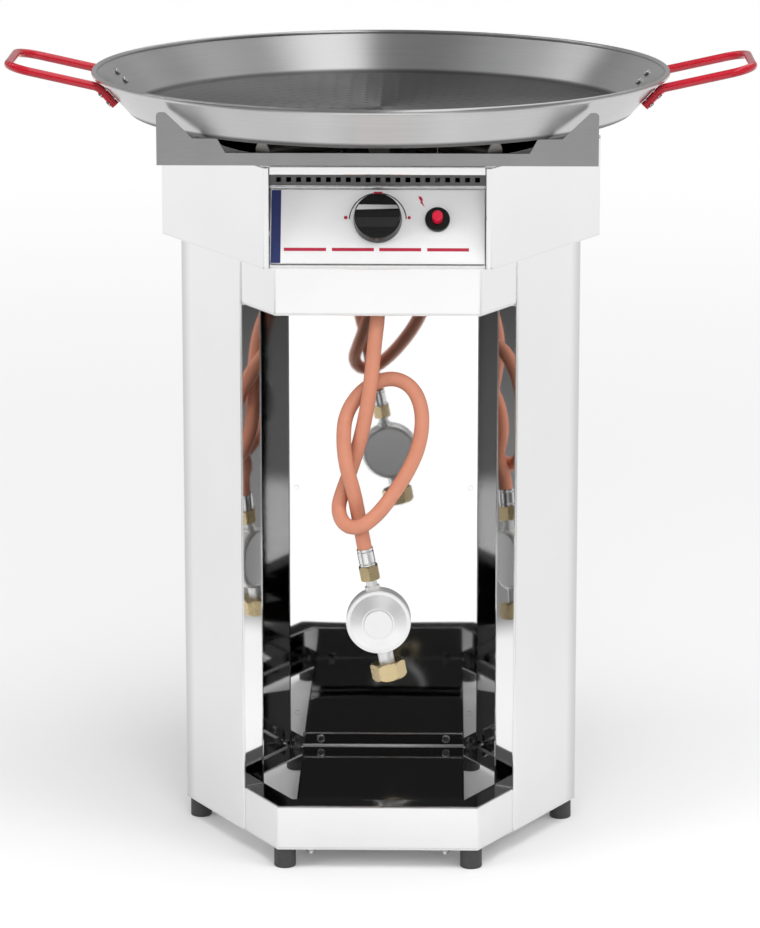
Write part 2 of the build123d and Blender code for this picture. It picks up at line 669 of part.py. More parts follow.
arm_turns = [Rot(0, 0, ARM_TURN * k) for k in range(len(arm_reach))]
save("burner_arms", compound([turn * burner_arm(reach) for turn, reach in zip(arm_turns, arm_reach)]))
save("burner_caps", compound([turn * burner_cap(reach) for turn, reach in zip(arm_turns, arm_reach)]))

# Bracket that carries the hub from the box floor
bracket_corner = (BRACKET_HALF_SPAN, BRACKET_HALF_WIDTH, hub_bottom)
hub_bracket = block((-BRACKET_HALF_SPAN, -BRACKET_HALF_WIDTH, hub_bottom - PLATE), bracket_corner)
bracket_leg = block((BRACKET_HALF_SPAN - PLATE, -BRACKET_HALF_WIDTH, Z_BOX_FLOOR), bracket_corner)
hub_bracket += [bracket_leg, mirrored(bracket_leg)]
hub_bracket -= rod(MIXER_R + SCREW_GAP, hub_bottom - PLATE, hub_bottom)
save("hub_bracket", hub_bracket)

# Mixing tube with its air shutter, and the injector in front of it
mixer_path = FilletPolyline(
    (0, MIXER_START_Y, Z_GAS), (0, 0, Z_GAS), (0, 0, hub_bottom), radius=MIXER_BEND
)
save("mixing_tube", tube_along(mixer_path, MIXER_R) - tube_along(mixer_path, MIXER_R - MIXER_WALL))
GAS_AXIS = Pos(0, 0, Z_GAS) * Rot(-90, 0, 0)
shutter_r = MIXER_R + SCREW_GAP + SHUTTER_WALL
save("air_shutter", GAS_AXIS * pipe(shutter_r, SHUTTER_WALL, MIXER_START_Y, MIXER_START_Y + SHUTTER_LENGTH))
injector_end = VALVE_BACK_Y + INJECTOR_LENGTH
injector = rod(INJECTOR_R, VALVE_BACK_Y, injector_end) - rod(INJECTOR_BORE_R, VALVE_BACK_Y, injector_end)
save("injector", GAS_AXIS * injector)

# Gas valve: body cut flat at the back for the injector and below for the supply pipe
Z_VALVE_UNDERSIDE = Z_BOX + VALVE_UNDERSIDE_RISE
valve_face = -SHEET - VALVE_SETBACK
plug_top = -STEM_IN_VALVE - SPRING_LENGTH
plug_low = plug_top - PLUG_LENGTH
valve_body = KNOB_AXIS * block(
    (-VALVE_HALF_WIDTH, -VALVE_HALF_HEIGHT, -VALVE_DEPTH), (VALVE_HALF_WIDTH, VALVE_HALF_HEIGHT, valve_face)
)
valve_body += KNOB_AXIS * rod(VALVE_NECK_R, valve_face, FASCIA)
valve_body &= block((-BOX_SIDE, -BOX_FLAT, Z_VALVE_UNDERSIDE), (BOX_SIDE, VALVE_BACK_Y, Z_BOX_TOP))
valve_body -= KNOB_AXIS * rod(STEM_R + RUN, plug_low - RUN, FASCIA)
save("gas_valve", valve_body)

# Plug at the bottom of the valve's bore: the stem's tongue turns it and slides in its slot
tongue_end = plug_top - TONGUE_IN_PLUG
slot_end = tongue_end - KNOB_TRAVEL - GAP
slot_half_width = TONGUE_HALF_WIDTH + RUN
slot_half_height = TONGUE_HALF_HEIGHT + RUN
port_z = plug_low + PLUG_PORT_RISE
valve_plug = rod(STEM_R, plug_low, plug_top)
valve_plug -= block(
    (-slot_half_width, -slot_half_height, slot_end),
    (slot_half_width, slot_half_height, plug_top),
)
valve_plug -= Pos(0, 0, port_z) * Rot(90, 0, 0) * rod(PLUG_PORT_R, -STEM_R, STEM_R)
save("valve_plug", KNOB_AXIS * valve_plug)

knob_back = FASCIA + KNOB_TRAVEL + GAP
valve_stem = rod(STEM_R, -STEM_IN_VALVE, knob_back + STEM_IN_KNOB)
valve_stem += block(
    (-TONGUE_HALF_WIDTH, -TONGUE_HALF_HEIGHT, tongue_end),
    (TONGUE_HALF_WIDTH, TONGUE_HALF_HEIGHT, -STEM_IN_VALVE),
)
save("valve_stem", KNOB_AXIS * valve_stem)
valve_spring = coil(STEM_R - SPRING_INSET, SPRING_WIRE_R, SPRING_LENGTH, SPRING_COILS, plug_top)
save("valve_spring", KNOB_AXIS * valve_spring)

# Knob: a round skirt with a raised, sloping grip bar
knob_top = knob_back + KNOB_SKIRT
grip_top = knob_top + KNOB_GRIP_HEIGHT
knob_face_r = KNOB_R - KNOB_DRAFT
knob = Pos(0, 0, knob_back) * Cone(
    KNOB_R, knob_face_r, KNOB_SKIRT, align=(Align.CENTER, Align.CENTER, Align.MIN)
)
knob = fillet(knob.edges().group_by(Axis.Z)[-1], KNOB_EDGE_R)
grip_half = KNOB_GRIP_WIDTH / 2
slope_half = grip_half + KNOB_GRIP_SLOPE
grip_low = knob_top - KNOB_EDGE_R
grip_outline = Polygon(
    (-slope_half, grip_low),
    (slope_half, grip_low),
    (slope_half, knob_top),
    (grip_half, grip_top),
    (-grip_half, grip_top),
    (-slope_half, knob_top),
    align=None,
)
grip = extrude(Plane.YZ * grip_outline, KNOB_R, both=True)
grip &= rod(knob_face_r - KNOB_EDGE_R, knob_back, grip_top)
grip = fillet(grip.edges().group_by(Axis.Z)[-1], GRIP_EDGE_R)
knob += grip
knob -= rod(STEM_R + RUN, knob_back, knob_back + STEM_IN_KNOB)
save("control_knob", KNOB_AXIS * knob)

# Gas inlet: supply pipe down through the box floor, and the connector and ferrule that the hose hangs from
INLET = Pos(0, INLET_Y, 0)
connector_low = Z_BOX - INLET_NUT_HEIGHT
save("supply_pipe", INLET * pipe(PIPE_R, PIPE_WALL, Z_BOX, Z_VALVE_UNDERSIDE))
save("inlet_connector", INLET * nut(INLET_NUT_FLATS, PIPE_R - PIPE_WALL, connector_low, Z_BOX))
save("upper_ferrule", INLET * rod(HOSE_R + FERRULE_WALL, HOSE_ROUTE[0].Z, connector_low))

# Igniter: barrel through the panel, nut behind it, bezel in front, and the sprung button
button_top = FASCIA + BEZEL_HEIGHT + BUTTON_PROUD + BUTTON_TRAVEL
button_low = button_top - BUTTON_LENGTH
button_room = rod(BUTTON_R + GAP, button_low - SPRING_LENGTH, button_top)
piezo = rod(BARREL_R, -BARREL_DEPTH, FASCIA) - button_room
pin_end = -BARREL_DEPTH - LEAD_PIN
piezo += rod(LEAD_R, pin_end, -BARREL_DEPTH)
save("piezo_body", IGNITER_AXIS * piezo)
nut_back = -SHEET - PIEZO_NUT_HEIGHT
save("piezo_nut", IGNITER_AXIS * nut(2 * PIEZO_NUT_R * COS30, BARREL_R, nut_back, -SHEET))
bezel = rod(BEZEL_R, FASCIA, FASCIA + BEZEL_HEIGHT)
bezel = fillet(bezel.edges().group_by(Axis.Z)[-1], BEZEL_EDGE_R) - button_room
save("igniter_bezel", IGNITER_AXIS * bezel)
button = fillet(rod(BUTTON_R, button_low, button_top).edges().group_by(Axis.Z)[-1], BUTTON_EDGE_R)
save("igniter_button", IGNITER_AXIS * button)
spring_low = button_low - SPRING_LENGTH
button_spring = coil(BUTTON_R - SPRING_INSET, SPRING_WIRE_R, SPRING_LENGTH, SPRING_COILS, spring_low)
save("button_spring", IGNITER_AXIS * button_spring)

# Spark electrode and flame sensor on a bracket beside the front right long arm
BESIDE_ARM = Rot(0, 0, -ARM_TURN)
Z_TAB = Z_ARMS - TAB_DROP
ELECTRODE = BESIDE_ARM * Pos(ELECTRODE_ALONG, -SENSOR_OFFSET, Z_TAB)
SENSOR = BESIDE_ARM * Pos(SENSOR_ALONG, -SENSOR_OFFSET, Z_TAB)
tab_start, tab_end = ELECTRODE_ALONG - TAB_OVERHANG, SENSOR_ALONG + TAB_OVERHANG
tab_inner = TAB_HALF_WIDTH - SENSOR_OFFSET
tab_outer = tab_inner - 2 * TAB_HALF_WIDTH
sensor_bracket = block((tab_start, tab_outer, Z_TAB), (tab_end, tab_inner, Z_TAB + SHEET))
sensor_bracket += block((tab_start, tab_inner - SHEET, Z_BOX_FLOOR), (tab_end, tab_inner, Z_TAB + SHEET))
sensor_bracket = BESIDE_ARM * sensor_bracket
sensor_bracket -= ELECTRODE * rod(INSULATOR_R + SCREW_GAP, 0, SHEET)
sensor_bracket -= SENSOR * rod(SENSOR_R + SCREW_GAP, 0, SHEET)
save("sensor_bracket", sensor_bracket)

insulator_low = -INSULATOR_LENGTH / 2
electrode_low = insulator_low - ELECTRODE_TAIL
insulator = rod(INSULATOR_R, insulator_low, -insulator_low)
insulator -= rod(ELECTRODE_R + RUN, insulator_low, -insulator_low)
save("electrode_insulator", ELECTRODE * insulator)
save("spark_electrode", ELECTRODE * rod(ELECTRODE_R, electrode_low, ELECTRODE_TIP - insulator_low))
sensor = rod(SENSOR_R, -SENSOR_LENGTH / 2, SENSOR_LENGTH / 2)
save("flame_sensor", SENSOR * fillet(sensor.edges().group_by(Axis.Z)[-1], SENSOR_R * TURNED_SHARE))

lead_start = (IGNITER_AXIS * Pos(0, 0, pin_end)).position
lead_knee = (IGNITER_AXIS * Pos(0, 0, pin_end - LEAD_RUN)).position
lead_end = (ELECTRODE * Pos(0, 0, electrode_low)).position
lead_turn = Vector(lead_end.X, lead_end.Y, lead_knee.Z + LEAD_RISE)
lead_path = FilletPolyline(lead_start, lead_knee, lead_turn, lead_end, radius=LEAD_BEND)
save("ignition_lead", tube_along(lead_path, LEAD_R))

# Pan: flat bottom, flared wall and a rolled rim
wall_foot = Vector(PAN_BOTTOM_R, Z_SEAT)
wall_top = Vector(PAN_RIM_R - RIM_BEAD_R, Z_RIM)
pan_profile = sheet_outline([(0, Z_SEAT), (wall_foot.X, wall_foot.Y), (wall_top.X, wall_top.Y)], PAN_WALL)
bends = [v for v in pan_profile.vertices() if PAN_BOTTOM_R / 2 < v.X < PAN_BOTTOM_R + GAP]
pan_profile = fillet(bends, PAN_CORNER_R)
pan_profile += Pos(wall_top.X, wall_top.Y) * Circle(RIM_BEAD_R)
pan = revolve(Plane.XZ * pan_profile, Axis.Z)

# Handles: a bent rod on each side whose feet lie under the wall and are riveted through it
wall_up = (wall_top - wall_foot).normalized()
wall_out = Vector(wall_up.Y, -wall_up.X)


def under_wall(down, side):
    """Centre of the rod under the wall, a distance down from the rim, on the side +1 or -1 in Y."""
    at = wall_top - wall_up * down + wall_out * (HANDLE_ROD_R + GAP)
    return Vector(sqrt(at.X**2 - HANDLE_HALF_WIDTH**2), side * HANDLE_HALF_WIDTH, at.Y)


def handle_end(side):
    reach = PAN_RIM_R + HANDLE_OUT - HANDLE_ROD_R
    return Vector(reach, side * HANDLE_HALF_WIDTH, Z_SEAT + PAN_HEIGHT + HANDLE_RISE)


handle_path = FilletPolyline(
    under_wall(HANDLE_FOOT_IN, -1),
    under_wall(HANDLE_KNEE_IN, -1),
    handle_end(-1),
    handle_end(1),
    under_wall(HANDLE_KNEE_IN, 1),
    under_wall(HANDLE_FOOT_IN, 1),
    radius=[HANDLE_KNEE_R, HANDLE_CORNER_R, HANDLE_CORNER_R, HANDLE_KNEE_R],
)
handle = tube_along(handle_path, HANDLE_ROD_R)


def rivet_frame(down, side):
    """Frame on the pan's inner wall with z pointing into the pan."""
    at = wall_top - wall_up * down - wall_out * PAN_WALL
    turn = Vector(sqrt(at.X**2 - HANDLE_HALF_WIDTH**2), side * HANDLE_HALF_WIDTH).normalized()
    inward = Vector(-wall_out.X * turn.X, -wall_out.X * turn.Y, -wall_out.Y)
    return Plane(origin=Vector(turn.X * at.X, turn.Y * at.X, at.Y), z_dir=inward)


rivet_length = PAN_WALL + GAP + 2 * HANDLE_ROD_R + 2 * RUN
rivet = bolt(RIVET_R, RIVET_HEAD_R, RIVET_HEAD, rivet_length)
rivet += rod(RIVET_TAIL_R, -rivet_length - RIVET_TAIL, -rivet_length)
rivet_hole = rod(RIVET_R + SCREW_GAP, -rivet_length - RIVET_TAIL, RIVET_HEAD)
rivet_frames = [rivet_frame(down, side) for down in RIVET_PLACES for side in (-1, 1)]
rivets = [frame * Pos(0, 0, RUN) * rivet for frame in rivet_frames]
rivet_holes = [frame * rivet_hole for frame in rivet_frames]
handle -= rivet_holes
pan -= rivet_holes
pan -= [mirrored(hole) for hole in rivet_holes]
save("pan", pan)
save("right_handle", handle)
save("left_handle", mirrored(handle))
save("handle_rivets", compound(rivets + [mirrored(one) for one in rivets]))

# Gas hose
hose_bends = largest_bends(HOSE_ROUTE)
hose_path = FilletPolyline(*HOSE_ROUTE, radius=hose_bends)
hose = tube_along(hose_path, HOSE_R)
print("hose bend radii", [round(r, 1) for r in hose_bends])
print("hose length", round(hose_path.length, 1))
print("hose volume over its section", round(hose.volume / Circle(HOSE_R).area, 1))
save("gas_hose", hose)

# Crimped ferrule and union nut at the regulator
ferrule = rod(HOSE_R + FERRULE_WALL, 0, LOWER_FERRULE_LENGTH)
crimp = Torus(HOSE_R + FERRULE_WALL + CRIMP_DEPTH, 2 * CRIMP_DEPTH)
ferrule -= [Pos(0, 0, z) * crimp for z in (CRIMP_IN, LOWER_FERRULE_LENGTH - CRIMP_IN)]
save("lower_ferrule", REGULATOR_FRAME * ferrule)
union_end = LOWER_FERRULE_LENGTH + UNION_NUT_HEIGHT
union_nut = nut(UNION_NUT_FLATS, OUTLET_R + SCREW_GAP, LOWER_FERRULE_LENGTH, union_end)
save("union_nut", REGULATOR_FRAME * Rot(0, 0, 30) * union_nut)

# Regulator: back shell with its two necks, clamped diaphragm, spring and front cover
REGULATOR_FACE = REGULATOR_FRAME * Pos(0, REGULATOR_BACK / 2, REGULATOR_DOWN) * Rot(-90, 0, 0)
boss_end = REGULATOR_DOWN + REGULATOR_R + BOSS_PROUD
shell_back = fillet(rod(REGULATOR_R, -REGULATOR_BACK, 0).edges().group_by(Axis.Z)[0], REGULATOR_EDGE_R)
necks = rod(OUTLET_R, LOWER_FERRULE_LENGTH, REGULATOR_DOWN) + rod(BOTTLE_STEM_R, REGULATOR_DOWN, boss_end)
shoulder_low = REGULATOR_DOWN - REGULATOR_R - SHOULDER_LENGTH
necks += rod(OUTLET_R + SHOULDER_WIDER, shoulder_low, REGULATOR_DOWN)
regulator_body = REGULATOR_FACE * shell_back + REGULATOR_FRAME * necks
regulator_body -= REGULATOR_FACE * rod(REGULATOR_R - 2 * REGULATOR_SHELL, REGULATOR_SHELL - REGULATOR_BACK, 0)
save("regulator_body", regulator_body)
save("diaphragm", REGULATOR_FACE * rod(REGULATOR_R - DIAPHRAGM_INSET, 0, DIAPHRAGM))
cover_low = DIAPHRAGM + REGULATOR_SHELL
cover_high = cover_low + COVER_RISE - REGULATOR_SHELL
cover = fillet(rod(REGULATOR_R, DIAPHRAGM, cover_low).edges().group_by(Axis.Z)[-1], COVER_RIM_R)
cover += Pos(0, 0, cover_low) * Cone(
    REGULATOR_R - COVER_STEP,
    COVER_TOP_R,
    cover_high - cover_low,
    align=(Align.CENTER, Align.CENTER, Align.MIN),
)
cover = fillet(cover.edges().group_by(Axis.Z)[-1], COVER_EDGE_R)
badge = rod(BADGE_R, cover_high, cover_high + BADGE_RISE)
cover += fillet(badge.edges().group_by(Axis.Z)[-1], BADGE_EDGE_R)
cover -= rod(BADGE_R - REGULATOR_SHELL, DIAPHRAGM, cover_high)
save("regulator_cover", REGULATOR_FACE * cover)
spring_room = cover_high - DIAPHRAGM
regulator_spring = coil(REGULATOR_SPRING_R, 2 * SPRING_WIRE_R, spring_room, SPRING_COILS, DIAPHRAGM)
save("regulator_spring", REGULATOR_FACE * regulator_spring)

# Bottle connection: stem with a collar and nose, gasket, and the nut that turns on the stem
collar_low = BOTTLE_NUT_DOWN + BOTTLE_NUT_WALL + GAP
collar_high = collar_low + STEM_COLLAR
relief_end = BOTTLE_NUT_DOWN + BOTTLE_NUT_WALL + BOTTLE_RELIEF
bottle_nut_end = BOTTLE_NUT_DOWN + BOTTLE_NUT_HEIGHT
stem = rod(BOTTLE_STEM_R, boss_end, collar_low) + rod(STEM_COLLAR_R, collar_low, collar_high)
stem += rod(NOSE_R, collar_high, relief_end - GAP)
save("bottle_stem", REGULATOR_FRAME * stem)
gasket = pipe(GASKET_R, GASKET_R - NOSE_R - RUN, collar_high, collar_high + GASKET)
save("bottle_gasket", REGULATOR_FRAME * gasket)
bottle_nut = nut(BOTTLE_NUT_FLATS, BOTTLE_STEM_R + RUN, BOTTLE_NUT_DOWN, bottle_nut_end)
bottle_nut -= rod(BOTTLE_RELIEF_R, relief_end - BOTTLE_RELIEF, relief_end)
bottle_nut -= rod(BOTTLE_THREAD_R, relief_end, bottle_nut_end)
save("bottle_nut", REGULATOR_FRAME * bottle_nut)
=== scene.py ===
# %% [markdown]
# A gas burner stand with a wide steel pan, dressed for its portrait
#
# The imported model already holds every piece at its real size: folded sheet, pan, valve, screws. This
# lesson puts a camera in front of it, builds a small white studio, hangs the rubber hose and gives each
# piece the finish that it has on the real stand. Lengths are in metres, +Z is up and the control panel
# looks along -Y.

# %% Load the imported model
import json
from math import cos, hypot, pi, radians, sin

import bmesh
import bpy
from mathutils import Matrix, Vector

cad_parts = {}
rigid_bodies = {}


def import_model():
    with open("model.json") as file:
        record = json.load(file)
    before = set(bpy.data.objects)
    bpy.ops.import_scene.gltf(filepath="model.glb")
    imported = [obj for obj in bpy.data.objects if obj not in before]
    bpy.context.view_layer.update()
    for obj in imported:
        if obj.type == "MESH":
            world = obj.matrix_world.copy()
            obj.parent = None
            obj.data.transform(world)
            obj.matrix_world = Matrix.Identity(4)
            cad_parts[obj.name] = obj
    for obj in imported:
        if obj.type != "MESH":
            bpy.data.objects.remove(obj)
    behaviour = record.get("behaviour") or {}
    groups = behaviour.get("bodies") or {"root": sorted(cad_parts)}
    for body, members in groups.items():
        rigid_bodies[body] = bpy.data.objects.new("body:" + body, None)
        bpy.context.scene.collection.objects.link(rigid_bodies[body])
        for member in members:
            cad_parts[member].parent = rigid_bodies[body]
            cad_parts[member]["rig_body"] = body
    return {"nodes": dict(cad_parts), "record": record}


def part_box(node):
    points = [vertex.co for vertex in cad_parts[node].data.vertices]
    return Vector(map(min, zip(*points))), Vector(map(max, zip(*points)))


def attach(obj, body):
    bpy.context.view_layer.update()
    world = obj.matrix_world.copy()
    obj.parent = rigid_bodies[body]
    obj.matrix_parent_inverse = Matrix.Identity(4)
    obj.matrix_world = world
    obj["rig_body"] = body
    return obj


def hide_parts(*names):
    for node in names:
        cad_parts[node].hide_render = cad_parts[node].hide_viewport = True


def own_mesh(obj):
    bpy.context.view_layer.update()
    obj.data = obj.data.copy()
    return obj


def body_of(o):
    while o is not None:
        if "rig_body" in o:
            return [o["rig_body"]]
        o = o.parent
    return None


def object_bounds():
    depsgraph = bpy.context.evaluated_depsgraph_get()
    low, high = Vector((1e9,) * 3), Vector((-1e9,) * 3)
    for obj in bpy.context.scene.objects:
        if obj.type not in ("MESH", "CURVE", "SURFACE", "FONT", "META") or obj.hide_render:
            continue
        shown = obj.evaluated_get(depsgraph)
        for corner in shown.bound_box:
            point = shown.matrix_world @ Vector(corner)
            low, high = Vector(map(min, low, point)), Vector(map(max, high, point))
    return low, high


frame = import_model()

solid_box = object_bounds()
corner_values = [round(value, 4) for corner in solid_box for value in corner]
print("pieces in the model:", len(frame["nodes"]), "box:", corner_values)

# %% [markdown]
# The camera
#
# The stand was photographed from far off with a long lens, a little right of centre and from above the rim
# of the pan. A long lens keeps the uprights nearly parallel. The camera could track a target object, but a
# plain distance, height and tilt are easier to read and to change.

# %% Set up the camera
IMAGE_LONG_SIDE = 928
FOCAL_PIXELS = 4190
CAMERA_DISTANCE = 4.325
CAMERA_HEIGHT = 1.421
CAMERA_TURN = radians(0.99)
CAMERA_TILT = radians(13.40)
CAMERA_NUDGE = -0.0008
CAMERA_REACH = 100

camera_data = bpy.data.cameras.new("portrait")
camera_data.lens = camera_data.sensor_width * FOCAL_PIXELS / IMAGE_LONG_SIDE
camera_data.clip_end = CAMERA_REACH
camera = bpy.data.objects.new("portrait", camera_data)
camera.location = (
    CAMERA_DISTANCE * sin(CAMERA_TURN) + CAMERA_NUDGE,
    -CAMERA_DISTANCE * cos(CAMERA_TURN),
    CAMERA_HEIGHT,
)
camera.rotation_euler = (pi / 2 - CAMERA_TILT, 0, CAMERA_TURN)
bpy.context.scene.collection.objects.link(camera)
bpy.context.scene.camera = camera
bpy.context.scene.view_settings.view_transform = "Standard"
print("lens", round(camera_data.lens, 1), "mm")

# %% [markdown]
# A small language for finishes
#
# Every finish is a tree of shader nodes. Wiring them one link at a time is long and hard to read, so one
# small class wraps an output socket: plus, minus and times on it add Math nodes, and its node method adds
# any other node, with the settings first and the sockets after.


# %% Wrap a socket
class Wire:
    """An output socket that can be used in sums."""

    def __init__(self, tree, socket):
        self.tree = tree
        self.socket = socket

    @classmethod
    def node(cls, tree, kind, settings=None, inputs=None, output=0):
        """Add a node of any kind: its settings, then the values or links of its sockets."""
        made = tree.nodes.new("ShaderNode" + kind)
        for name, value in (settings or {}).items():
            if name == "stops":
                while len(made.color_ramp.elements) < len(value):
                    made.color_ramp.elements.new(1)
                for stop, (position, colour) in zip(made.color_ramp.elements, value):
                    stop.position = position
                    stop.color = colour
            else:
                setattr(made, name, value)
        for name, value in (inputs or {}).items():
            if isinstance(value, Wire):
                tree.links.new(value.socket, made.inputs[name])
            else:
                made.inputs[name].default_value = value
        return cls(tree, made.outputs[output]) if made.outputs else None

    def math(self, operation, first, second):
        return self.node(self.tree, "Math", {"operation": operation}, {0: first, 1: second})

    def __add__(self, other):
        return self.math("ADD", self, other)

    def __radd__(self, other):
        return self.math("ADD", other, self)

    def __sub__(self, other):
        return self.math("SUBTRACT", self, other)

    def __rsub__(self, other):
        return self.math("SUBTRACT", other, self)

    def __mul__(self, other):
        return self.math("MULTIPLY", self, other)

    def __rmul__(self, other):
        return self.math("MULTIPLY", other, self)


def grey(level):
    return (level, level, level, 1)


def new_tree(owner):
    """An empty node tree on a material or a world."""
    owner.use_nodes = True
    owner.node_tree.nodes.clear()
    return owner.node_tree


def close_tree(tree, shader, kind="OutputMaterial"):
    """Link the last shader to the output."""
    Wire.node(tree, kind, {}, {"Surface": shader})


def blend_colours(tree, factor, first, second):
    """A colour between two colours."""
    inputs = {"Factor": factor, 6: first, 7: second}
    return Wire.node(tree, "Mix", {"data_type": "RGBA"}, inputs, output=2)


print("operators ready")

# %% [markdown]
# The white studio
#
# The stand is mirror-polished, so what stands around it matters more than the lamps. The floor could be a
# plain white plane, but then it would turn grey where little light falls. So it is white to the camera and
# in reflections through a glow of its own, and it still takes the stand's shadow. Close to the stand there
# is less glow and more lamp light, which keeps the shadow under the base deep.


# %% Blend with soft edges
def object_place(tree):
    """Where a point lies on its own piece, in metres."""
    return Wire.node(tree, "TexCoord", output="Object")


def split(tree, place, axes):
    """The named axes of a place, one wire for each."""
    return [Wire.node(tree, "SeparateXYZ", {}, {"Vector": place}, output=axis) for axis in axes]


def ramp_up(tree, value, low, high):
    """Zero below low, one above high and smooth between."""
    settings = {"interpolation_type": "SMOOTHSTEP"}
    inputs = {"Value": value, "From Min": low, "From Max": high}
    return Wire.node(tree, "MapRange", settings, inputs, output="Result")


def between(tree, value, low, high, low_edge=0.05, high_edge=0.05):
    """One from low to high and zero elsewhere, with soft edges."""
    starts = ramp_up(tree, value, low - low_edge, low + low_edge)
    return starts - ramp_up(tree, value, high - high_edge, high + high_edge)


def seen_directly(tree):
    """One for rays from the camera, or mirrored or passed on to it, and zero for scattered light."""
    rays = ["Is Camera Ray", "Is Glossy Ray", "Is Transmission Ray"]
    camera_ray, glossy_ray, passed_ray = [Wire.node(tree, "LightPath", output=name) for name in rays]
    return camera_ray.math("MAXIMUM", camera_ray.math("MAXIMUM", camera_ray, glossy_ray), passed_ray)


print("soft edges ready")

# %% [markdown]
# Two black flags
#
# A photographer draws the dark inner walls of such a cabinet with black flags. Here they lie on the floor,
# on either side of the camera, and only mirrors show them. Planes that stand in the room would do too, but
# they would shade the stand and get in the way of the other views.

# %% Place the flags
FLAG_X = (0.62, 2.9)
FLAG_Y = (0.45, 2.3)
FLAG_EDGES = (0.06, 0.5)
FLAG_SHADES = (0.26, 0.05)


def flags(tree):
    """Where the floor is dark in reflections, from zero to one, and how dark: darker further out."""
    x, y = split(tree, object_place(tree), "XY")
    aside = x.math("ABSOLUTE", x, 0.0)
    glossy_ray = Wire.node(tree, "LightPath", output="Is Glossy Ray")
    near, far = [grey(level) for level in FLAG_SHADES]
    shade = blend_colours(tree, ramp_up(tree, aside, *FLAG_X), near, far)
    across = between(tree, aside, *FLAG_X, *FLAG_EDGES)
    deep = between(tree, 0.0 - y, *FLAG_Y, *FLAG_EDGES)
    return across * deep * glossy_ray, shade


print("flags from", FLAG_X[0], "to", FLAG_X[1], "m on either side")

# %% Lay the floor
FLOOR_HALF = 30.0
FLOOR_WHITE = 0.8
FLOOR_GLOW = (0.53, 0.78)
GLOW_EDGES = (0.6, 5.0)
FLOOR_SHADED = 0.37
CLOSE_GLOW = 0.05
CLOSE_SHADED = 0.81
CLOSE_EDGES = (0.3, 0.9)

floor_mesh = bpy.data.meshes.new("studio_floor")
corners = [(-1, -1), (1, -1), (1, 1), (-1, 1)]
floor_mesh.from_pydata([(x * FLOOR_HALF, y * FLOOR_HALF, 0) for x, y in corners], [], [(0, 1, 2, 3)])
floor = bpy.data.objects.new("studio_floor", floor_mesh)
bpy.context.scene.collection.objects.link(floor)
floor_finish = bpy.data.materials.new("studio_floor")
floor_mesh.materials.append(floor_finish)
print("floor", 2 * FLOOR_HALF, "m wide")

# %% Give the floor its white
tree = new_tree(floor_finish)
plain = Wire.node(tree, "BsdfDiffuse", {}, {"Color": grey(FLOOR_WHITE)})
place = object_place(tree)
far_out = Wire.node(tree, "VectorMath", {"operation": "LENGTH"}, {0: place}, output="Value")
away = ramp_up(tree, far_out, *CLOSE_EDGES)
dim_colour = blend_colours(tree, away, grey(CLOSE_SHADED), grey(FLOOR_SHADED))
dim = Wire.node(tree, "BsdfDiffuse", {}, {"Color": dim_colour})
near_glow, far_glow = [grey(level) for level in FLOOR_GLOW]
open_glow = blend_colours(tree, ramp_up(tree, far_out, *GLOW_EDGES), near_glow, far_glow)
glow_colour = blend_colours(tree, away, grey(CLOSE_GLOW), open_glow)
glow = Wire.node(tree, "Emission", {}, {"Color": glow_colour, "Strength": 1.0})
white_floor = Wire.node(tree, "AddShader", {}, {0: dim, 1: glow})
flag_mask, flag_shade = flags(tree)
flag = Wire.node(tree, "Emission", {}, {"Color": flag_shade, "Strength": 1.0})
shown = Wire.node(tree, "MixShader", {}, {0: flag_mask, 1: white_floor, 2: flag})
close_tree(tree, Wire.node(tree, "MixShader", {}, {0: seen_directly(tree), 1: plain, 2: shown}))
print("nodes in the floor:", len(tree.nodes))

# %% [markdown]
# The room that the steel mirrors
#
# The world could be one flat white, but polished steel would then look like white paint. So for mirrored
# rays the room has a dim ceiling with a broad light, a weaker one on the right and a narrow bright strip
# behind, and on the camera's side a low dark band, which the floor of the cabinet shows. Scattered light
# stays even.

# %% Describe the room
ROOM_LIGHT = 0.55
DARK_BAND = 0.015
SIDE_BAND = 0.10
SIDE_EDGES = (0.35, 0.60)
BACK_WALL = 0.40
BACK_EDGES = (-0.2, 0.1)
CEILING = 0.26
SOFTBOX = 1.35
SOFTBOX_EDGES = (0.07, 0.44)
SOFTBOX_SOFTNESS = 0.03
SIDE_LIGHT = 0.58
SIDE_LIGHT_EDGES = (0.05, 0.33)
SIDE_LIGHT_START = (0.30, 0.45)
STRIP = 6.0
STRIP_TURN = radians(153)
STRIP_EDGES = (0.015, 0.035)
STRIP_START = (0.1, 0.2)
BAND_TOP = sin(radians(24))
LIGHT_START = sin(radians(36))


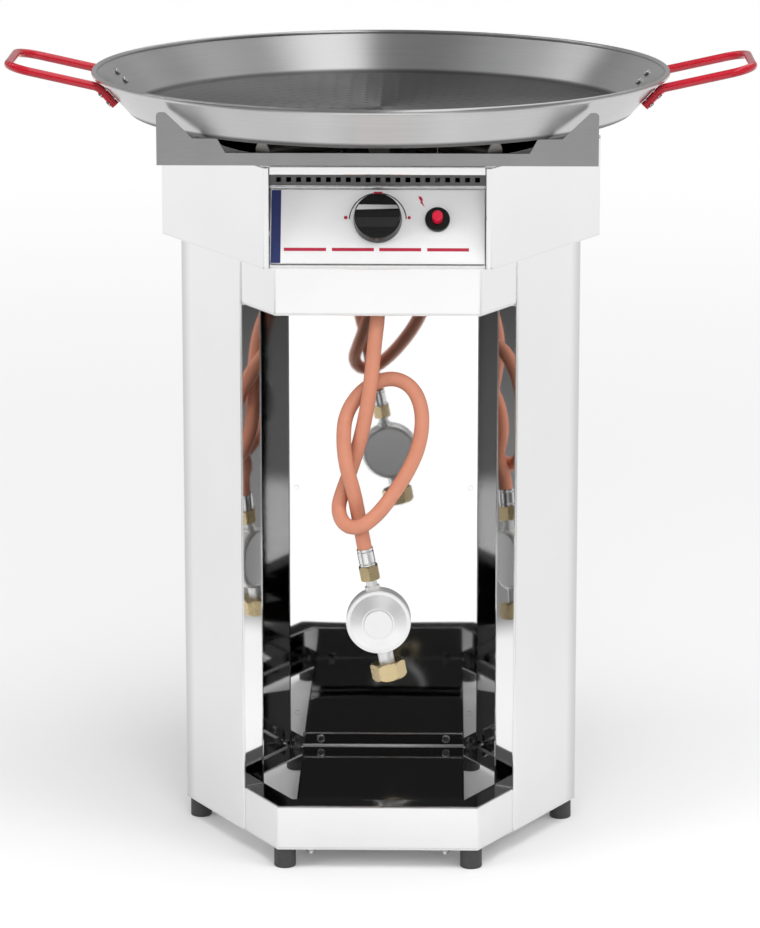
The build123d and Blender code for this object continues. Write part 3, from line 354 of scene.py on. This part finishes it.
def room_as_mirrored(tree):
    """How bright the room is in each direction, for reflections."""
    x, y, z = split(tree, Wire.node(tree, "TexCoord", output="Generated"), "XYZ")
    left, right = [
        ramp_up(tree, x, edge - SOFTBOX_SOFTNESS, edge + SOFTBOX_SOFTNESS) for edge in SOFTBOX_EDGES
    ]
    ceiling = blend_colours(tree, left - right, grey(CEILING), grey(SOFTBOX))
    on_the_right = between(tree, y, *SIDE_LIGHT_EDGES) * ramp_up(tree, x, *SIDE_LIGHT_START)
    ceiling = blend_colours(tree, on_the_right, ceiling, grey(SIDE_LIGHT))
    beside_strip = x * sin(STRIP_TURN) - y * cos(STRIP_TURN)
    off_strip = ramp_up(tree, x.math("ABSOLUTE", beside_strip, 0.0), *STRIP_EDGES)
    strip = (1.0 - off_strip) * ramp_up(tree, y, *STRIP_START)
    ceiling = blend_colours(tree, strip, ceiling, grey(STRIP))
    at_the_sides = ramp_up(tree, x.math("ABSOLUTE", x, 0.0), *SIDE_EDGES)
    band = blend_colours(tree, at_the_sides, grey(DARK_BAND), grey(SIDE_BAND))
    walls = blend_colours(tree, ramp_up(tree, y, *BACK_EDGES), band, grey(BACK_WALL))
    return blend_colours(tree, ramp_up(tree, z, BAND_TOP, LIGHT_START), walls, ceiling)


room = bpy.data.worlds.new("studio")
bpy.context.scene.world = room
tree = new_tree(room)
lit = Wire.node(tree, "Background", {}, {"Color": grey(1), "Strength": ROOM_LIGHT})
mirrored = Wire.node(tree, "Background", {}, {"Color": room_as_mirrored(tree), "Strength": 1.0})
white = Wire.node(tree, "Background", {}, {"Color": grey(1), "Strength": 1.0})
from_camera = Wire.node(tree, "LightPath", output="Is Camera Ray")
bounced = Wire.node(tree, "MixShader", {}, {0: seen_directly(tree), 1: lit, 2: mirrored})
close_tree(tree, Wire.node(tree, "MixShader", {}, {0: from_camera, 1: bounced, 2: white}), "OutputWorld")
print("nodes in the room:", len(tree.nodes))

# %% [markdown]
# The lamps
#
# Four soft square lamps give the matt pieces their shape: the hose, the handles, the knob and the feet.
# They are hidden from mirrors, which show the room instead. One large lamp would be simpler, but would
# leave the front of the hose in shade.

# %% Hang the lamps
LAMP_AIM = Vector((0, 0, 0.45))
LAMPS = [
    ("overhead", (0.3, -0.9, 3.0), 2.4, 60),
    ("left", (-2.6, -1.6, 1.6), 1.6, 26),
    ("right", (2.6, -1.4, 1.8), 1.6, 20),
    ("front", (0.5, -3.4, 2.0), 1.6, 30),
]

for name, place, size, power in LAMPS:
    lamp = bpy.data.lights.new(name, "AREA")
    lamp.size = size
    lamp.energy = power
    holder = bpy.data.objects.new(name, lamp)
    holder.location = place
    holder.rotation_euler = (LAMP_AIM - holder.location).to_track_quat("-Z", "Y").to_euler()
    holder.visible_glossy = False
    bpy.context.scene.collection.objects.link(holder)
print("lamps:", [name for name, *_ in LAMPS])

# %% [markdown]
# The gas hose
#
# The hose is one length of orange rubber, knotted once so that the regulator hangs clear of the floor. A
# chain of tubes would show its joints, but a curve with a round bevel keeps one smooth line through the
# knot. Its control points are the route of the hose: across, deep and the drop below the burner box. The
# bevel has a radius of one, and each point's own radius makes it as thick as the hose.

# %% Hang the hose
HOSE_RADIUS = 0.0075
HOSE_DROPS = [
    (0, -0.157, 0.030),
    (0, -0.157, 0.055),
    (-0.003, -0.166, 0.078),
    (-0.006, -0.180, 0.110),
    (-0.010, -0.1835, 0.142),
    (-0.017, -0.181, 0.177),
    (-0.026, -0.177, 0.207),
    (-0.035, -0.180, 0.231),
    (-0.041, -0.191, 0.249),
    (-0.034, -0.2025, 0.2635),
    (-0.018, -0.209, 0.265),
    (-0.001, -0.208, 0.252),
    (0.013, -0.200, 0.236),
    (0.031, -0.191, 0.210),
    (0.043, -0.183, 0.183),
    (0.046, -0.175, 0.153),
    (0.038, -0.168, 0.130),
    (0.021, -0.1625, 0.119),
    (0.001, -0.1615, 0.121),
    (-0.019, -0.167, 0.133),
    (-0.033, -0.176, 0.154),
    (-0.035, -0.188, 0.177),
    (-0.032, -0.1985, 0.202),
    (-0.024, -0.198, 0.229),
    (-0.020, -0.188, 0.254),
    (-0.0162, -0.1965, 0.272),
    (-0.013, -0.1965, 0.2888),
]
BOX_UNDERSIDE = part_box("burner_box")[0].z

hose_line = bpy.data.curves.new("rubber_hose", "CURVE")
hose_line.dimensions = "3D"
hose_line.bevel_depth = 1.0
hose_line.bevel_resolution = 8
hose_line.resolution_u = 8
hose_line.use_fill_caps = True
spline = hose_line.splines.new("NURBS")
spline.points.add(len(HOSE_DROPS) - 1)
for point, (x, y, drop) in zip(spline.points, HOSE_DROPS):
    point.co = (x, y, BOX_UNDERSIDE - drop, 1)
    point.radius = HOSE_RADIUS
spline.order_u = 3
spline.use_endpoint_u = True
hose = bpy.data.objects.new("rubber_hose", hose_line)
bpy.context.scene.collection.objects.link(hose)
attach(hose, "stand")
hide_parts("gas_hose")
print("hose points:", len(HOSE_DROPS))

# %% [markdown]
# Finishes of bare steel
#
# The cabinet is mirror-polished stainless sheet. Polishing leaves faint clouds where the sheet is a little
# less bright, and the rolling of the sheet leaves a slight wave in its reflections. Both come from noise
# in the coordinates of the piece, so that no picture is needed. A Bevel node bends the light along the
# folds, as the small radius of a real fold does, without a change to the solid.

# %% Make the finish maker
FOLD_SAMPLES = 8
finishes = {}


def stretched(tree, place, scale):
    """The place, scaled apart along the three axes."""
    return Wire.node(tree, "Mapping", {}, {"Vector": place, "Scale": scale})


def noise(tree, place, scale, detail=3.0):
    return Wire.node(tree, "TexNoise", {}, {"Vector": place, "Scale": scale, "Detail": detail}, output="Fac")


def bumps(tree, height, distance, rounding=0.0):
    """A normal bent by a height, in metres, and rounded along the edges of the sheet."""
    inputs = {"Height": height, "Distance": distance}
    if rounding:
        inputs["Normal"] = Wire.node(tree, "Bevel", {"samples": FOLD_SAMPLES}, {"Radius": rounding})
    return Wire.node(tree, "Bump", {}, inputs)


def finish(name, build):
    """A material whose shader comes from the build function."""
    made = bpy.data.materials.new(name)
    tree = new_tree(made)
    close_tree(tree, Wire.node(tree, "BsdfPrincipled", {}, build(tree, object_place(tree))))
    finishes[name] = made


print("finish maker ready")

# %% Make the polished sheet
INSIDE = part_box("back_panel")[1].y + 0.0006
FOLD_ROUNDING = 0.0032


def polished_steel(tree, place):
    cloud = noise(tree, place, 7.0)
    grain = noise(tree, stretched(tree, place, (900, 900, 25)), 1.0, 2.0)
    x, y = split(tree, place, "XY")
    # The inner faces of the rear sides get a darker grey, 0.62: painted shade inside the cabinet.
    aside = x.math("ABSOLUTE", x, 0.0) * cos(radians(30)) + y * sin(radians(30))
    outside = ramp_up(tree, aside, INSIDE - 0.0002, INSIDE + 0.0002)
    inside = (1.0 - outside) * ramp_up(tree, y, -0.02, 0.0)
    shade = blend_colours(tree, cloud, grey(0.80), grey(0.88))
    return {
        "Base Color": blend_colours(tree, inside, shade, grey(0.62)),
        "Metallic": 1.0,
        "Roughness": 0.015 + cloud * 0.03 + grain * 0.02,
        "Normal": bumps(tree, noise(tree, place, 5.0, 1.0), 0.0006, FOLD_ROUNDING),
    }


# A brighter copy of the polished sheet: painted light that makes the back panel and its screws read whiter.
def painted_light_steel(tree, place):
    cloud = noise(tree, place, 7.0)
    return {
        "Base Color": blend_colours(tree, cloud, grey(0.91), grey(0.96)),
        "Metallic": 1.0,
        "Roughness": 0.015 + cloud * 0.03,
        "Normal": bumps(tree, noise(tree, place, 5.0, 1.0), 0.0006),
    }


def satin_steel(tree, place):
    cloud = noise(tree, place, 30.0)
    grain = noise(tree, stretched(tree, place, (40, 40, 1400)), 1.0, 2.0)
    return {
        "Base Color": blend_colours(tree, grain, grey(0.35), grey(0.43)),
        "Metallic": 1.0,
        "Roughness": 0.30 + cloud * 0.12,
        "Normal": bumps(tree, grain, 0.00001),
    }


print("polished inside to", round(INSIDE, 4), "m from the middle")

# %% Make the pan and the other sheet finishes
PAN_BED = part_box("pan")[0].z + 0.003
PAN_TURN = 0.004


def pan_steel(tree, place):
    (height,) = split(tree, place, "Z")
    wall = ramp_up(tree, height, PAN_BED, PAN_BED + PAN_TURN)
    cloud = noise(tree, place, 14.0)
    rings = noise(tree, stretched(tree, place, (12, 12, 900)), 1.0, 3.0)
    side = blend_colours(tree, rings, grey(0.57), grey(0.68))
    # The bed is a much darker copy of the wall's steel: painted shade on the floor of the pan.
    bed = blend_colours(tree, cloud, grey(0.16), grey(0.21))
    return {
        "Base Color": blend_colours(tree, wall, bed, side),
        "Metallic": 1.0,
        "Roughness": 0.42 - wall * 0.16 + rings * 0.10,
        "Anisotropic": 0.88,
        "Anisotropic Rotation": 0.25,
        "Normal": bumps(tree, rings, 0.000012),
    }


# A dark copy of the steel: painted shade on the vent strip, under its ledge.
def shaded_steel(tree, place):
    cloud = noise(tree, place, 30.0)
    return {
        "Base Color": blend_colours(tree, cloud, grey(0.11), grey(0.17)),
        "Metallic": 1.0,
        "Roughness": 0.30 + cloud * 0.12,
    }


# Near-white and nearly unmetallic: a painted highlight for the thin fold lines in the base.
def painted_fold_highlight(tree, place):
    cloud = noise(tree, place, 60.0)
    return {
        "Base Color": blend_colours(tree, cloud, grey(0.88), grey(0.96)),
        "Metallic": 0.15,
        "Roughness": 0.30 + cloud * 0.1,
    }


def bright_fasteners(tree, place):
    cloud = noise(tree, place, 160.0)
    return {
        "Base Color": blend_colours(tree, cloud, grey(0.62), grey(0.80)),
        "Metallic": 1.0,
        "Roughness": 0.16 + cloud * 0.16,
    }


def burner_steel(tree, place):
    cloud = noise(tree, place, 40.0)
    return {
        "Base Color": blend_colours(tree, cloud, (0.32, 0.30, 0.28, 1), (0.52, 0.50, 0.47, 1)),
        "Metallic": 1.0,
        "Roughness": 0.28 + cloud * 0.2,
    }


sheet_finishes = (polished_steel, painted_light_steel, satin_steel, pan_steel, shaded_steel, painted_fold_highlight)
for build in sheet_finishes + (bright_fasteners, burner_steel):
    finish(build.__name__, build)
print("steel finishes:", list(finishes))

# %% [markdown]
# Cast, plated and turned metal
#
# The regulator is a zinc casting with a satin skin, its nuts are turned brass that has gone slightly dull,
# the ferrules are bright rolled steel and the hub of the burner is rough iron. One metal with another
# colour for each would be quick, but each has its own gloss, so each has its own small tree.


# %% Make the other metals
def cast_iron(tree, place):
    cloud = noise(tree, place, 220.0)
    return {
        "Base Color": blend_colours(tree, cloud, grey(0.05), grey(0.11)),
        "Metallic": 0.6,
        "Roughness": 0.55 + cloud * 0.2,
        "Normal": bumps(tree, cloud, 0.0003),
    }


def cast_zinc(tree, place):
    cloud = noise(tree, place, 70.0)
    return {
        "Base Color": blend_colours(tree, cloud, grey(0.83), grey(0.91)),
        "Metallic": 0.72,
        "Roughness": 0.36 + cloud * 0.10,
    }


def brass(tree, place):
    cloud = noise(tree, place, 60.0)
    return {
        "Base Color": blend_colours(tree, cloud, (0.61, 0.48, 0.27, 1), (0.69, 0.56, 0.33, 1)),
        "Metallic": 1.0,
        "Roughness": 0.22 + cloud * 0.10,
    }


def ferrule_steel(tree, place):
    cloud = noise(tree, place, 150.0)
    return {
        "Base Color": blend_colours(tree, cloud, grey(0.72), grey(0.86)),
        "Metallic": 1.0,
        "Roughness": 0.10 + cloud * 0.12,
    }


for build in (cast_iron, cast_zinc, brass, ferrule_steel):
    finish(build.__name__, build)
print("other metals:", list(finishes)[-4:])

# %% [markdown]
# Enamel, plastic, rubber and print
#
# The handles are dipped in glossy red enamel, the knob and the bezel are moulded black plastic, the push
# button is red. The hose is matt orange rubber with a fine bloom, and the feet are dark moulded rubber. A
# coat gives the enamel its gloss over a duller red, which plain low roughness can't.


# %% Make the colours
def red_enamel(tree, place):
    cloud = noise(tree, place, 60.0)
    return {
        "Base Color": blend_colours(tree, cloud, (0.34, 0.001, 0.010, 1), (0.42, 0.002, 0.016, 1)),
        "Roughness": 0.35 + cloud * 0.08,
        "Specular IOR Level": 0.15,
        "Coat Weight": 1.0,
        "Coat Roughness": 0.04,
    }


def black_plastic(tree, place):
    cloud = noise(tree, place, 260.0)
    return {
        "Base Color": blend_colours(tree, cloud, grey(0.006), grey(0.010)),
        "Roughness": 0.20 + cloud * 0.10,
        "Specular IOR Level": 0.25,
    }


def red_button(tree, place):
    cloud = noise(tree, place, 120.0)
    return {
        "Base Color": blend_colours(tree, cloud, (0.58, 0.008, 0.035, 1), (0.74, 0.015, 0.06, 1)),
        "Roughness": 0.20 + cloud * 0.08,
        "Specular IOR Level": 0.3,
    }


def foot_rubber(tree, place):
    cloud = noise(tree, place, 180.0)
    return {
        "Base Color": blend_colours(tree, cloud, grey(0.030), grey(0.060)),
        "Roughness": 0.50 + cloud * 0.2,
    }


def hose_rubber(tree, place):
    cloud = noise(tree, place, 90.0)
    fine = noise(tree, place, 900.0, 2.0)
    return {
        "Base Color": blend_colours(tree, cloud, (0.52, 0.20, 0.122, 1), (0.60, 0.245, 0.152, 1)),
        "Roughness": 0.40 + fine * 0.14,
        "Normal": bumps(tree, fine, 0.00008),
    }


def seal_rubber(tree, place):
    cloud = noise(tree, place, 140.0)
    return {
        "Base Color": blend_colours(tree, cloud, grey(0.02), grey(0.035)),
        "Roughness": 0.6 + cloud * 0.15,
    }


def ceramic(tree, place):
    cloud = noise(tree, place, 110.0)
    return {
        "Base Color": blend_colours(tree, cloud, (0.80, 0.77, 0.70, 1), (0.88, 0.86, 0.80, 1)),
        "Roughness": 0.18 + cloud * 0.1,
    }


def printed_fascia(tree, place):
    cloud = noise(tree, place, 9.0)
    grain = noise(tree, stretched(tree, place, (30, 700, 700)), 1.0, 2.0)
    return {
        "Base Color": blend_colours(tree, cloud, grey(0.84), grey(0.92)),
        "Metallic": 0.15,
        "Roughness": 0.34 + grain * 0.08,
    }


rubbers = (foot_rubber, hose_rubber, seal_rubber)
for build in (red_enamel, black_plastic, red_button, ceramic, printed_fascia) + rubbers:
    finish(build.__name__, build)
print("finishes:", len(finishes))

# %% [markdown]
# Dimples in the pan
#
# The bed of such a pan is pressed with rings of shallow dimples, which keep it stiff and hold a little
# oil. A bump in the finish could hint at them, but would be lost with the finish. So they are real: a fine
# round grid of points lies on the bed, and each point near the middle of a dimple is lowered.

# %% Press the dimples
BED_R = 0.2535
BED_RISE = 0.0011
BED_EDGE = 0.003
BED_RINGS = 126
BED_SPOKES = 400
DIMPLE_PITCH = 0.017
DIMPLE_R = 0.0046
DIMPLE_DEPTH = 0.0006
PAN_SHEET = 0.0015
BED_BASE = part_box("pan")[0].z + PAN_SHEET


def soft_step(value, low, high):
    """Zero below low, one above high and smooth between, for plain numbers."""
    share = min(max((value - low) / (high - low), 0), 1)
    return share * share * (3 - 2 * share)


print("dimples", DIMPLE_PITCH, "m apart")


# %% Shape and show the bed
def bed_height(r, turn):
    """How far the bed stands above the sheet, with six more dimples in each ring than in the last."""
    ring = round(r / DIMPLE_PITCH)
    ring_r = ring * DIMPLE_PITCH
    sunk = 0
    if ring and ring_r + DIMPLE_R < BED_R:
        step = pi / 3 / ring
        beside = (turn + step / 2 * (ring % 2) + step / 2) % step - step / 2
        sunk = 1 - soft_step(hypot(r - ring_r, ring_r * beside), DIMPLE_R / 6, DIMPLE_R)
    return BED_RISE * (1 - soft_step(r, BED_R - BED_EDGE, BED_R)) - DIMPLE_DEPTH * sunk


def show(name, form, finish_name, body):
    """Make a form into a piece that rides on a body."""
    mesh = bpy.data.meshes.new(name)
    form.to_mesh(mesh)
    form.free()
    mesh.materials.append(finishes[finish_name])
    piece = bpy.data.objects.new(name, mesh)
    bpy.context.scene.collection.objects.link(piece)
    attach(piece, body)


bed = bmesh.new()
middle = bed.verts.new((0, 0, BED_BASE + BED_RISE))
turns = [2 * pi * k / BED_SPOKES for k in range(BED_SPOKES)]
rings = []
for k in range(1, BED_RINGS + 1):
    r = BED_R * k / BED_RINGS
    rings.append([bed.verts.new((r * cos(a), r * sin(a), BED_BASE + bed_height(r, a))) for a in turns])
for k in range(BED_SPOKES):
    after = (k + 1) % BED_SPOKES
    bed.faces.new([middle, rings[0][k], rings[0][after]])
    for inner, outer in zip(rings, rings[1:]):
        bed.faces.new([inner[k], outer[k], outer[after], inner[after]])
for face in bed.faces:
    face.smooth = True
bed.faces.new(rings[-1][::-1])
show("pan_bed", bed, "pan_steel", "pan")
print("points in the bed:", BED_RINGS * BED_SPOKES + 1)

# %% [markdown]
# Painted highlights along the folds in the base
#
# Where a sheet is folded up, the inside of the fold has a small radius. Its finish is a near-white grey with
# little metal in it, a painted highlight that draws a thin bright line: along the back of the floor plate
# and along the foot of each rear side. A bevel on the solid would change it, so each line is a slim
# quarter-round that lies in the corner of the fold.

# %% Draw the folds
FOLD_R = 0.0018
FOLD_STEPS = 8
FOLD_SPAN = (0.04, 0.96)
SHEET = 0.0012


def fold_line(form, start, end, inward):
    """A quarter-round from start to end, in the corner under a wall that looks inward."""
    up = Vector((0, 0, 1))
    turns = [pi / 2 * k / FOLD_STEPS for k in range(FOLD_STEPS + 1)]
    section = [Vector()] + [(inward * cos(a) + up * sin(a)) * FOLD_R for a in turns]
    loops = [[form.verts.new(at + point) for point in section] for at in (start, end)]
    form.faces.new(loops[0])
    form.faces.new(loops[1][::-1])
    for k in range(len(section)):
        after = (k + 1) % len(section)
        side = form.faces.new([loops[0][k], loops[1][k], loops[1][after], loops[0][after]])
        side.smooth = 0 < k < len(section) - 1


floor_low, floor_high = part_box("floor_plate")
fold_y = floor_high.y - SHEET
fold_z = floor_low.z + SHEET
base_folds = bmesh.new()
fold_start = Vector((floor_low.x, fold_y, fold_z))
fold_end = Vector((floor_high.x, fold_y, fold_z))
fold_line(base_folds, fold_start, fold_end, Vector((0, -1, 0)))
wall_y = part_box("back_panel")[1].y
flange_z = floor_low.z
for side in (-1, 1):
    back_corner = Vector((side * wall_y / 3**0.5, wall_y, flange_z))
    side_corner = Vector((side * wall_y * 2 / 3**0.5, 0, flange_z))
    inward = Vector((-side * cos(radians(30)), -0.5, 0))
    fold_start, fold_end = [back_corner.lerp(side_corner, share) for share in FOLD_SPAN]
    fold_line(base_folds, fold_start, fold_end, inward)
bmesh.ops.recalc_face_normals(base_folds, faces=base_folds.faces)
show("base_folds", base_folds, "painted_fold_highlight", "stand")
print("fold lines: 3")

# %% [markdown]
# Print on the control panel
#
# The fascia is a thin plate with a blue stripe, four plain red bars, a round scale with red marks at its
# ends and top, and a red flash beside the igniter. A picture on the fascia could show them, but screen
# print is a layer of ink, so each mark is a very thin plate. The panel's own directions come from the
# joint that the knob turns on.

# %% Find the panel's directions
joints = {joint["name"]: joint for joint in frame["record"]["behaviour"]["joints"]}
KNOB_PLACE = Vector(joints["knob_turn"]["pos_m"])
PANEL_OUT = Vector(joints["knob_turn"]["axis"]).normalized()
PANEL_RIGHT = Vector((1, 0, 0))
PANEL_UP = PANEL_OUT.cross(PANEL_RIGHT)
INK_LAYERS = (0.00045, 0.00056)
MM = 1000


def on_panel(across, up, out):
    """A point by its place from the knob's axis, along the panel and out of it."""
    return KNOB_PLACE + PANEL_RIGHT * across + PANEL_UP * up + PANEL_OUT * out


def thin_plate(form, low, high):
    """Close two loops of points, one above the other, into a plate."""
    loops = [[form.verts.new(point) for point in loop] for loop in (low, high)]
    form.faces.new(loops[0][::-1])
    form.faces.new(loops[1])
    for k in range(len(low)):
        after = (k + 1) % len(low)
        form.faces.new([loops[0][k], loops[0][after], loops[1][after], loops[1][k]])


def printed(name, outlines, finish_name):
    """One layer of ink: each outline is a loop of (across, up) in millimetres from the knob's axis."""
    ink = bmesh.new()
    for outline in outlines:
        low, high = [[on_panel(x / MM, up / MM, out) for x, up in outline] for out in INK_LAYERS]
        thin_plate(ink, low, high)
    show(name, ink, finish_name, "stand")


print("panel looks along", [round(v, 3) for v in PANEL_OUT])


# %% Outline the marks
def box_outline(left, right, low, high):
    return [(left, low), (right, low), (right, high), (left, high)]


def round_outline(x, up, half_width, r, steps=16):
    """A disc, or a bar with round ends when its half width is larger than the radius."""
    turns = [2 * pi * (k + 0.5) / steps for k in range(steps)]
    straight = half_width - r
    return [(x + r * cos(a) + (straight if cos(a) > 0 else -straight), up + r * sin(a)) for a in turns]


def arc_outline(r, line, start, end, steps=48):
    """A curved line of even width, between two angles in degrees."""
    turns = [radians(start + (end - start) * k / steps) for k in range(steps + 1)]
    outer = [((r + line / 2) * cos(a), (r + line / 2) * sin(a)) for a in turns]
    inner = [((r - line / 2) * cos(a), (r - line / 2) * sin(a)) for a in turns]
    return outer + inner[::-1]


print("outlines ready")


# %% Mix the inks
def ink_colour(name, dark, light):
    def build(tree, place):
        cloud = noise(tree, place, 400.0)
        return {
            "Base Color": blend_colours(tree, cloud, dark, light),
            "Roughness": 0.35 + cloud * 0.15,
            "Specular IOR Level": 0.3,
        }
    finish(name, build)


ink_colour("red_ink", (0.42, 0.010, 0.040, 1), (0.50, 0.016, 0.055, 1))
ink_colour("blue_ink", (0.018, 0.028, 0.12, 1), (0.026, 0.040, 0.16, 1))
ink_colour("black_ink", grey(0.012), grey(0.022))
print("inks:", list(finishes)[-3:])

# %% Draw the marks
SCALE_R = 28.6
SCALE_LINE = 1.1
ARC_STARTS = (3, 100)
ARC_SPAN = 77
BAR_LOW = -32.2
BAR_HIGH = -28.8
BARS = [(-94.0, -51.6), (-45.8, -3.6), (1.7, 43.8), (49.7, 91.7)]
ROUND_MARKS = [(0, SCALE_R, 4.8, 1.6), (-32.2, 3.0, 1.9, 1.9), (31.5, 3.0, 1.7, 1.7)]
FLASH_PLACE = (43.8, 19.7)
FLASH_SCALE = 1.25
FLASH = [
    (-2.6, 4.7), (-0.2, 4.3), (1.5, 0.9), (0.4, 1.0), (2.6, -4.7), (-1.5, 0.1), (-0.2, -0.1), (-2.0, 2.6),
]
STRIPE_WIDTH = 9.8
STRIPE_INSET = 0.2
STRIPE_MARGIN = 0.6

red_marks = [box_outline(left, right, BAR_LOW, BAR_HIGH) for left, right in BARS]
red_marks += [round_outline(*mark) for mark in ROUND_MARKS]
red_marks.append([(FLASH_PLACE[0] + x * FLASH_SCALE, FLASH_PLACE[1] + up * FLASH_SCALE) for x, up in FLASH])
printed("red_print", red_marks, "red_ink")
fascia_low, fascia_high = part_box("control_fascia")
stripe_left = fascia_low.x * MM + STRIPE_INSET
stripe_low = (fascia_low - KNOB_PLACE).dot(PANEL_UP) * MM + STRIPE_MARGIN
stripe_high = (fascia_high - KNOB_PLACE).dot(PANEL_UP) * MM - STRIPE_MARGIN
stripe = box_outline(stripe_left, stripe_left + STRIPE_WIDTH, stripe_low, stripe_high)
printed("blue_print", [stripe], "blue_ink")
arcs = [arc_outline(SCALE_R, SCALE_LINE, start, start + ARC_SPAN) for start in ARC_STARTS]
printed("scale_print", arcs, "black_ink")
print("printed marks:", len(red_marks) + 1 + len(arcs))

# %% [markdown]
# The painted reflection on the knob
#
# One sloping side of the knob's grip carries a pale band, a painted reflection: light grey at its left end,
# fading to dark grey at its right. A second finish on the knob would need the slope as a face of its own.
# So the band is a thin plate on that slope, a little wider at its left end, and it turns with the knob.

# %% Paint the band
BAND_EDGE = (3.7, 24.0)
BAND_FOOT = (11.7, 17.0)
BAND_CORNERS = [(-21.4, 0.08), (21.2, 0.30), (19.2, 0.92), (-18.9, 0.97)]
BAND_LAYERS = (-0.1, 0.15)
REFLECTION_FADE = (-0.02, 0.03)


def painted_grip_reflection(tree, place):
    (along,) = split(tree, place, "X")
    cloud = noise(tree, place, 180.0)
    # Light grey at the left end and dark grey at the right: a painted reflection on the slope.
    reflection_fade = ramp_up(tree, along, *REFLECTION_FADE) * 0.8 + cloud * 0.2
    return {
        "Base Color": blend_colours(tree, reflection_fade, grey(0.82), grey(0.34)),
        "Roughness": 0.32 + cloud * 0.1,
    }


finish("painted_grip_reflection", painted_grip_reflection)
slope_up = BAND_EDGE[1] - BAND_FOOT[1]
slope_out = BAND_FOOT[0] - BAND_EDGE[0]
slope = hypot(slope_up, slope_out)
band = bmesh.new()
layers = []
for lift in BAND_LAYERS:
    layer = []
    for across, share in BAND_CORNERS:
        up = BAND_EDGE[0] + share * slope_out + lift * slope_up / slope
        out = BAND_EDGE[1] - share * slope_up + lift * slope_out / slope
        layer.append(on_panel(across / MM, up / MM, out / MM))
    layers.append(layer)
thin_plate(band, *layers)
show("grip_reflection", band, "painted_grip_reflection", "knob")
print("band:", len(BAND_CORNERS), "corners")

# %% [markdown]
# Dressing the pieces
#
# The record of the model names a finish for each piece, so one loop dresses them all, which is safer than
# a line for each. Four pieces get other finishes: the vent strip a dark one, painted shade under its ledge,
# the nuts of the floor a dull satin one, and the back panel and its screws a brighter one, painted light.

# %% Dress the model
slot_of = {piece["node"]: piece["material_slot"] for piece in frame["record"]["subparts"]}
slot_finish = {
    "vent_strip": "shaded_steel",
    "floor_nuts": "satin_steel",
    "back_panel": "painted_light_steel",
    "back_screws": "painted_light_steel",
}
for name, piece in frame["nodes"].items():
    for material_slot in piece.material_slots:
        material_slot.material = finishes[slot_finish.get(name, slot_of[name])]
hose_line.materials.append(finishes["hose_rubber"])
print("dressed:", len(slot_of))

# %% [markdown]
# Copies of the springs
#
# Behind the panel a small coil spring lifts the knob's stem, and another lifts the igniter button. When
# either is pushed, the real coil closes up, but a stiff one would cut into the piece above it. A copy
# of each coil stands for the solid and rides on the same body.

# %% Copy the springs
COILS = [
    ("valve_coil", "valve_spring", "knob_push", 0.003),
    ("button_coil", "button_spring", "button_push", 0.005),
]

for name, node, joint_name, travel in COILS:
    solid = frame["nodes"][node]
    coil = bpy.data.objects.new(name, solid.data.copy())
    bpy.context.scene.collection.objects.link(coil)
    body = body_of(solid)[0]
    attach(coil, body)
    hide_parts(node)
    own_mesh(coil)
